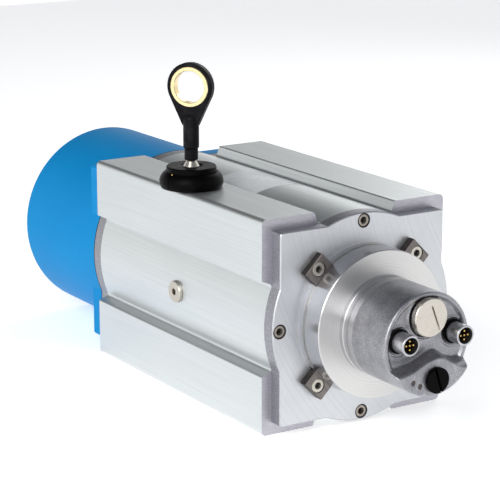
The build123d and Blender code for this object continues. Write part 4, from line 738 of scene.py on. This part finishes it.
class ENCODER_OT_stage(bpy.types.Operator):
    """Pale floor, soft light and the camera"""
    bl_idname = "encoder.stage"
    bl_label = "Stage"

    def execute(self, context):
        stage = context.scene.draw_wire_encoder_stage
        self.make_floor(stage)
        self.make_world(context, stage)
        self.make_light("key_light", (-1.15, -0.75, 0.85), (0, -0.02, 0.06), (0.9, 1.1), stage.key_power)
        self.make_light("rim_light", (0.95, 0.6, 0.8), (0, 0, 0.08), (0.7, 0.7), stage.rim_power)
        self.make_camera(context, stage)
        context.scene.view_settings.view_transform = "Standard"
        return {"FINISHED"}

    def make_floor(self, stage):
        # A matt white acrylic table lit softly from below, so it stays pale to its edge
        material, tree, shader, place = new_material("lit_white_acrylic_table", IOR=1.49)
        dust = grain(tree, place, (30, 30, 30), 3.0)
        colour = (*stage.floor_colour, 1.0)
        tree.links.new(
            add_node(tree, "ShaderNodeMix",
                {
                    0: add_node(tree, "ShaderNodeMapRange", (dust, 0.4, 0.7, 0.0, 0.3)).outputs[0],
                    6: colour,
                    7: linear("#F6F7F7"),
                },
                data_type="RGBA").outputs[2],
            shader.inputs["Base Color"])
        shader.inputs["Roughness"].default_value = 0.7
        shader.inputs["Emission Color"].default_value = colour
        shader.inputs["Emission Strength"].default_value = 0.5
        half = 1.8
        gap_below = 0.0002
        mesh = bpy.data.meshes.new("floor")
        corners = [(-half, -half, 0), (half, -half, 0), (half, half, 0), (-half, half, 0)]
        mesh.from_pydata(corners, [], [(0, 1, 2, 3)])
        mesh.materials.append(material)
        floor = bpy.data.objects.new("floor", mesh)
        floor.location.z = CAD_BOX[0][2] - gap_below
        bpy.context.scene.collection.objects.link(floor)

    def make_world(self, context, stage):
        world = bpy.data.worlds.new("soft_room")
        world.use_nodes = True
        tree = world.node_tree
        tree.nodes.clear()
        place = add_node(tree, "ShaderNodeTexCoord")
        split = add_node(tree, "ShaderNodeSeparateXYZ", {0: place.outputs["Generated"]})
        height = add_node(tree, "ShaderNodeMapRange", (split.outputs[2], 0.3, 0.62, 0.0, 1.0)).outputs[0]
        colour = add_node(tree, "ShaderNodeMix",
            {0: height, 6: linear("#FFFFFF"), 7: linear("#7C8087")}, data_type="RGBA").outputs[2]
        behind = add_node(tree, "ShaderNodeMapRange", (split.outputs[1], 0.45, 0.75, 0.0, 0.92)).outputs[0]
        above = add_node(tree, "ShaderNodeMapRange", (split.outputs[2], 0.28, 0.38, 0.0, 1.0)).outputs[0]
        colour = add_node(tree, "ShaderNodeMix",
            {
                0: add_node(tree, "ShaderNodeMath", (behind, above), operation="MULTIPLY").outputs[0],
                6: colour,
                7: linear("#2A2726"),
            },
            data_type="RGBA").outputs[2]
        front = add_node(tree, "ShaderNodeMapRange", (split.outputs[1], -0.55, -0.95, 0.0, 0.8)).outputs[0]
        low = add_node(tree, "ShaderNodeMapRange", (split.outputs[2], 0.5, 0.2, 0.0, 1.0)).outputs[0]
        colour = add_node(tree, "ShaderNodeMix",
            {
                0: add_node(tree, "ShaderNodeMath", (front, low), operation="MULTIPLY").outputs[0],
                6: colour,
                7: linear("#8C9096"),
            },
            data_type="RGBA").outputs[2]
        sky = add_node(tree, "ShaderNodeBackground", {"Color": colour, "Strength": stage.sky})
        output = add_node(tree, "ShaderNodeOutputWorld")
        tree.links.new(sky.outputs[0], output.inputs["Surface"])
        context.scene.world = world

    def make_light(self, name, place, target, size, power):
        lamp = bpy.data.lights.new(name, "AREA")
        lamp.shape = "RECTANGLE"
        lamp.size, lamp.size_y = size
        lamp.energy = power
        light = bpy.data.objects.new(name, lamp)
        light.location = place
        aim = Vector(target) - Vector(place)
        light.rotation_euler = aim.to_track_quat("-Z", "Y").to_euler()
        bpy.context.scene.collection.objects.link(light)

    def make_camera(self, context, stage):
        lens = bpy.data.cameras.new("camera")
        lens.lens = stage.lens
        lens.sensor_width = 36.0
        lens.clip_end = 50.0
        camera = bpy.data.objects.new("camera", lens)
        back = Vector((math.sin(stage.turn) * math.cos(stage.rise),
                       -math.cos(stage.turn) * math.cos(stage.rise), math.sin(stage.rise)))
        camera.location = stage.camera_place
        camera.rotation_euler = (-back).to_track_quat("-Z", "Y").to_euler()
        context.scene.collection.objects.link(camera)
        context.scene.camera = camera


class ENCODER_OT_housing(bpy.types.Operator):
    """Extruded drum housing, its end plates, label and side plug"""
    bl_idname = "encoder.housing"
    bl_label = "Drum housing"

    def execute(self, context):
        finish = settings(context)
        paint(clear_anodised_extrusion(finish), "housing_profile")
        plate = milled_aluminium("milled_aluminium_plate", "#DADCDE", "#CDCFD2", "#8E8E94", "#A9A9AE")
        paint(plate, "front_end_plate", "rear_end_plate")
        paint(printed_film(), "rating_label")
        zinc = plain_metal("zinc_plated_steel", "#C9C6BF", "#A8A49C", 0.28, 0.42)
        paint(zinc, "side_plug_washer", "encoder_mount_screws", "board_posts")
        clamp_zinc = plain_metal("zinc_plated_clamp_screws", "#D8D3C8", "#B4AEA2", 0.28, 0.42)
        tree = clamp_zinc.node_tree
        place = next(n for n in tree.nodes if n.bl_idname == "ShaderNodeTexCoord")
        # Painted shade in the clamp screws' hexagon sockets
        paint(shade_painted_sockets(clamp_zinc, sockets_of(tree, place, 49.65, True)), "clamp_screws")
        plug_zinc = plain_metal("zinc_plated_plug_screw", "#CFC9BE", "#ACA69B", 0.28, 0.42)
        tree = plug_zinc.node_tree
        place = next(n for n in tree.nodes if n.bl_idname == "ShaderNodeTexCoord")
        # Painted shade in the side plug screw's hexagon socket
        paint(shade_painted_sockets(plug_zinc, sockets_of(tree, place, 0.0, False)), "side_plug_screw")
        oxide = plain_metal("black_oxide_steel", "#3A3836", "#232222", 0.32, 0.5)
        paint(oxide, "spring_housing_screws", "leadscrew_screws", "coupling_screws")
        # Black oxide plate screws: the pale head colour is a painted highlight on their rims, and their
        # sockets and the gap past each rim get painted shade
        plate_oxide = plain_metal("oxide_plate_screws_painted_highlight", "#B9B0A6", "#857C73", 0.3, 0.45)
        tree = plate_oxide.node_tree
        place = next(n for n in tree.nodes if n.bl_idname == "ShaderNodeTexCoord")
        shade_painted_sockets(plate_oxide, sockets_of(tree, place, 58.5, False, 2.2, 3.4))
        paint(plate_oxide, "front_plate_screws", "rear_plate_screws")
        return {"FINISHED"}


class ENCODER_OT_adapter(bpy.types.Operator):
    """Turned adapter flange and its four clamps"""
    bl_idname = "encoder.adapter"
    bl_label = "Adapter and clamps"

    def execute(self, context):
        bright = turned_aluminium("turned_aluminium_bright", "#E2E1DF", "#C9C8C6")
        paint(bright, "adapter_flange", "encoder_base")
        dull = turned_aluminium("turned_aluminium_dull", "#C4C5C7", "#A9AAAD",
                                side_roughness=0.3, face_roughness=0.4)
        paint(dull, "shaft_coupling", "wire_drum")
        # The clamps' near-black edge colours are painted shade for the dark reflections along their sides
        clamp = milled_aluminium("hard_anodised_clamp", "#8A8480", "#6C6663", "#2E2A29", "#4A4543")
        paint(clamp, "flange_clamps")
        return {"FINISHED"}


class ENCODER_OT_casting(bpy.types.Operator):
    """Die-cast encoder housing with its switch hump"""
    bl_idname = "encoder.casting"
    bl_label = "Encoder casting"

    def execute(self, context):
        sizes = context.scene.draw_wire_encoder_pieces
        material = blasted_die_casting(settings(context))
        rings_made = [self.front_ring(radius, sizes) for radius in self.radii(sizes.casting_step)]
        wall = [self.wall_ring(rings_made[-1], share / 12) for share in range(1, 13)]
        inner_radius = ENCODER_RADIUS - 3.65 * MM
        floor_y = ENCODER_TIP + 13.2 * MM
        inside = [self.flat_ring(inner_radius, ENCODER_BACK), self.flat_ring(inner_radius, floor_y),
                  self.flat_ring(inner_radius * 0.5, floor_y)]
        vertices, faces = ring_grid(rings_made + wall + inside)
        casting = settle("encoder_casting", vertices, faces, material, "housing", 50.0)
        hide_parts("encoder_housing")
        return {"FINISHED"}

    steps = 360

    def radii(self, step):
        count = int(ENCODER_RADIUS / step)
        return [ENCODER_RADIUS * (i + 0.5) / (count + 0.5) for i in range(count)] + [ENCODER_RADIUS]

    def angles(self):
        return [2 * math.pi * i / self.steps for i in range(self.steps)]

    def flat_ring(self, radius, y):
        return [(radius * math.cos(a), y, AXIS_Z + radius * math.sin(a)) for a in self.angles()]

    def wall_ring(self, edge, share):
        return [(x, y + (ENCODER_BACK - y) * share, z) for x, y, z in edge]

    def front_ring(self, radius, sizes):
        ring = []
        for a in self.angles():
            x, up = radius * math.cos(a), radius * math.sin(a)
            ring.append((x, self.front_y(x, up, radius, sizes.hump_height), AXIS_Z + up))
        return ring

    # Waves in mm: x and height of the peak, then the reach and the end height at its left and right
    crest = (3.0, -8.2, (17.0, -16.8), (12.5, -17.8))
    foot = (4.5, -4.4, (12.0, -11.0), (7.5, -10.8))

    def wave(self, line, x_mm):
        """Height of a wave that falls away smoothly on both sides of its peak."""
        peak_x, peak, left, right = line
        reach, end = left if x_mm < peak_x else right
        return end + (peak - end) * math.exp(-((x_mm - peak_x) / reach) ** 2)

    def front_y(self, x, up, radius, hump_height):
        """How far forward the casting's front reaches; more negative is further forward."""
        x_mm, up_mm, r_mm = x / MM, up / MM, radius / MM
        crest, foot = self.wave(self.crest, x_mm), self.wave(self.foot, x_mm)
        slope = smooth_step((foot - up_mm) / max(foot - crest, 0.5))
        hump = hump_height / MM * slope
        # the face dips a little in front of the hump
        dip = 0.5 * math.exp(-((up_mm - foot - 0.5) / 3.4) ** 2)
        outer = ENCODER_RADIUS / MM
        rim = 1.7 * smooth_step((r_mm - (outer - 4.3)) / 2.3)
        lift = 0.0
        for cx, cz, ring_radius, width, height in self.bosses:
            away = math.hypot(x_mm - cx, up_mm - cz)
            lift = max(lift, height * smooth_step(1.0 - abs(away - ring_radius) / width))
        for light_x, light_up in self.light_pits:
            hump -= 1.3 * smooth_step((1.75 - math.hypot(x_mm - light_x, up_mm - light_up)) / 0.5)
        forward = max(hump, rim, lift) - dip * (1 - slope) * smooth_step((outer - 2.0 - r_mm) / 3.0)
        edge = 1.3
        round_off = max(r_mm - (outer - edge), 0.0)
        forward -= edge - math.sqrt(max(edge * edge - round_off * round_off, 0.0))
        face_y = ENCODER_TIP + hump_height
        skin = 0.03 * noise.noise(Vector((x_mm * 0.9, up_mm * 0.9, 0.0)))
        return face_y - (forward + skin) * MM

    # Recesses over the two light guides: x, height, in mm
    light_pits = tuple((24.3 * math.cos(math.radians(turn)), 24.3 * math.sin(math.radians(turn)))
                       for turn in (234.0, 247.0))

    # Raised rings round the connectors, the blanking plug and the cap: x, height, radius, width, lift, in mm
    bosses = ((-19.2, 3.7, 8.6, 1.2, 0.5), (19.2, 3.7, 8.6, 1.2, 0.5), (0.0, 15.4, 12.6, 1.2, 0.8))


class ENCODER_OT_fittings(bpy.types.Operator):
    """Connectors, blanking plug, switch cap and light guides on the encoder"""
    bl_idname = "encoder.fittings"
    bl_label = "Encoder fittings"

    def execute(self, context):
        nickel = plain_metal("nickel_plated_brass", "#D9D3C9", "#C2BBB0", 0.22, 0.34, (0.5, 3, 0.5))
        paint(nickel, "blanking_plug", "wire_ferrule", "swivel_pin")
        sleeve = plain_metal("satin_stainless_sleeve", "#C8C8CA", "#A6A6A9", 0.26, 0.38, (4, 0.5, 4))
        paint(sleeve, "connector_sleeves")
        black = black_moulding("black_polyamide", "#030203", 0.4, 0.5, 0.01, dust="#0B0A0B")
        paint(black, "connector_inserts", "switch_cap")
        rubber = black_moulding("black_nitrile_rubber", "#050405", 0.5, 0.6, 0.015, 1.52, "#0C0B0C")
        paint(rubber, "connector_seal_rings", "plug_seal_ring", "plate_seal_rings", "spring_housing_gasket")
        paint(plain_metal("gold_flashed_pins", "#E2BE72", "#C9A052", 0.2, 0.3), "connector_pins")
        paint(smoky_light_guide(), "light_pipes")
        return {"FINISHED"}


class ENCODER_OT_spring_housing(bpy.types.Operator):
    """Blue spring housing, its power spring and arbor"""
    bl_idname = "encoder.spring_housing"
    bl_label = "Spring housing"

    def execute(self, context):
        paint(moulded_blue(settings(context)), "spring_housing")
        blued = plain_metal("blued_spring_strip", "#5A6272", "#3D4352", 0.25, 0.4, (6, 0.8, 6))
        paint(blued, "power_spring", "bearing_circlip")
        ground = plain_metal("ground_steel", "#C4C5C7", "#A5A6A9", 0.18, 0.3, (5, 0.4, 5))
        paint(ground, "drum_shaft", "feather_keys", "traverse_leadscrew", "spring_arbor", "arbor_pin",
              "spring_anchor_pin", "encoder_shaft")
        return {"FINISHED"}


class ENCODER_OT_outlet(bpy.types.Operator):
    """Rubber seal, wiper and guide at the wire's outlet, with the small pin that locks the wiper"""
    bl_idname = "encoder.outlet"
    bl_label = "Wire outlet"

    def execute(self, context):
        rubber = black_moulding("black_moulded_rubber", "#030203", 0.4, 0.5, 0.02, 1.52, "#0A090A")
        paint(rubber, "outlet_seal_ring")
        paint(black_moulding("black_wiper_plastic", "#040304", 0.38, 0.6, 0.02, dust="#0B0A0B"), "wiper_disc")
        bronze = plain_metal("turned_bronze", "#B98A55", "#9A6D3C", 0.25, 0.4, (3, 0.5, 3))
        paint(bronze, "wire_guide_bush", "traverse_nut")
        brass = plain_metal("bright_brass_pin", "#DDBB74", "#BF9850", 0.2, 0.3)
        seam = math.radians(193)
        radius, top = 16.05 * MM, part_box("outlet_seal_ring")[1].z
        middle = Vector((WIRE_X + radius * math.cos(seam), radius * math.sin(seam), top))
        profile = ((0.62, -0.9), (0.62, 0.12), (0.5, 0.3), (0.28, 0.4))
        turns = [2 * math.pi * i / 24 for i in range(24)]
        rows = [[middle + Vector((r * math.cos(a), r * math.sin(a), h)) * MM for a in turns]
                for r, h in profile]
        vertices, faces = ring_grid(rows)
        settle("wiper_lock_pin", vertices, faces, brass, "housing")
        return {"FINISHED"}


class ENCODER_OT_wire(bpy.types.Operator):
    """Stranded measuring wire between the drum and the pull eye, and the wound turns"""
    bl_idname = "encoder.wire"
    bl_label = "Measuring wire"

    def execute(self, context):
        sizes = context.scene.draw_wire_encoder_pieces
        steel = stranded_wire_steel()
        paint(steel, "wire_winding")
        low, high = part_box("measuring_wire")
        radius = (high.x - low.x) / 2
        strand = sizes.strand_radius
        vertices, faces = [], []
        for number in range(7):
            away = 0.0 if number == 6 else radius - strand
            rows = self.strand_rows(low.z, high.z, away, strand, number * math.pi / 3, sizes.lay_length)
            new_vertices, new_faces = ring_grid(rows)
            faces += [tuple(i + len(vertices) for i in face) for face in new_faces]
            vertices += new_vertices
        wire = settle("stranded_wire", vertices, faces, steel, None, 60.0)
        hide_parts("measuring_wire")
        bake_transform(wire)
        return {"FINISHED"}

    def strand_rows(self, low, high, away, strand, start, lay):
        rows = []
        count = int((high - low) / (1.2 * MM))
        for step in range(count + 1):
            z = low + (high - low) * step / count
            turn = start + 2 * math.pi * (z - low) / lay
            middle = Vector((WIRE_X + away * math.cos(turn), away * math.sin(turn), z))
            around = [2 * math.pi * i / 10 for i in range(10)]
            rows.append([middle + Vector((strand * math.cos(a), strand * math.sin(a), 0)) for a in around])
        return rows


class ENCODER_OT_pull_eye(bpy.types.Operator):
    """Moulded pull eye with its brass bush, and the swivel stem"""
    bl_idname = "encoder.pull_eye"
    bl_label = "Pull eye"

    def execute(self, context):
        black = black_moulding("black_glass_filled_polyamide", "#111113", 0.34, 0.45, 0.012, 1.53, "#2B2A2D")
        paint(black, "pull_eye", "swivel_stem")
        paint(plain_metal("bright_turned_brass", "#F3E2B4", "#DFC486", 0.16, 0.28, (0.4, 0.4, 4)), "eye_bush")
        return {"FINISHED"}


class ENCODER_OT_mechanism(bpy.types.Operator):
    """Bearings, encoder board and code disc inside"""
    bl_idname = "encoder.mechanism"
    bl_label = "Inner mechanism"

    def execute(self, context):
        bearing = plain_metal("bearing_steel", "#D2D3D5", "#B4B6B9", 0.1, 0.2, (3, 0.5, 3), 0.002)
        paint(bearing, "main_bearing_outer_rings", "main_bearing_inner_rings", "main_bearing_balls",
              "encoder_bearing_outer_rings", "encoder_bearing_inner_rings", "encoder_bearing_balls")
        paint(circuit_board_mask(), "encoder_board")
        paint(coded_film(), "code_disc")
        return {"FINISHED"}


class ENCODER_PT_sidebar(bpy.types.Panel):
    """Lists the encoder's pieces and settings"""
    bl_idname = "ENCODER_PT_sidebar"
    bl_label = "Draw-wire encoder"
    bl_space_type = "VIEW_3D"
    bl_region_type = "UI"
    bl_category = "Draw-wire encoder"

    def draw(self, context):
        for group in (context.scene.draw_wire_encoder_stage, context.scene.draw_wire_encoder_finish,
                      context.scene.draw_wire_encoder_pieces):
            for name in group.bl_rna.properties.keys():
                if name not in {"rna_type", "name"}:
                    self.layout.prop(group, name)
        for operator in OPERATORS:
            self.layout.operator(operator.bl_idname)


GROUPS = {
    "draw_wire_encoder_stage": EncoderStageSettings,
    "draw_wire_encoder_finish": EncoderFinishSettings,
    "draw_wire_encoder_pieces": EncoderPieceSettings,
}
OPERATORS = (
    ENCODER_OT_stage,
    ENCODER_OT_housing,
    ENCODER_OT_adapter,
    ENCODER_OT_casting,
    ENCODER_OT_fittings,
    ENCODER_OT_spring_housing,
    ENCODER_OT_outlet,
    ENCODER_OT_wire,
    ENCODER_OT_pull_eye,
    ENCODER_OT_mechanism,
)


def register():
    for kind in (*GROUPS.values(), *OPERATORS, ENCODER_PT_sidebar):
        bpy.utils.register_class(kind)
    for name, group in GROUPS.items():
        setattr(bpy.types.Scene, name, bpy.props.PointerProperty(type=group))


def unregister():
    for name in GROUPS:
        delattr(bpy.types.Scene, name)
    for kind in reversed((*GROUPS.values(), *OPERATORS, ENCODER_PT_sidebar)):
        bpy.utils.unregister_class(kind)


def main():
    register()
    for operator in OPERATORS:
        group, name = operator.bl_idname.split(".")
        if "FINISHED" not in getattr(getattr(bpy.ops, group), name)():
            raise RuntimeError(f"{operator.bl_label} didn't finish")


if __name__ == "__main__":
    main()
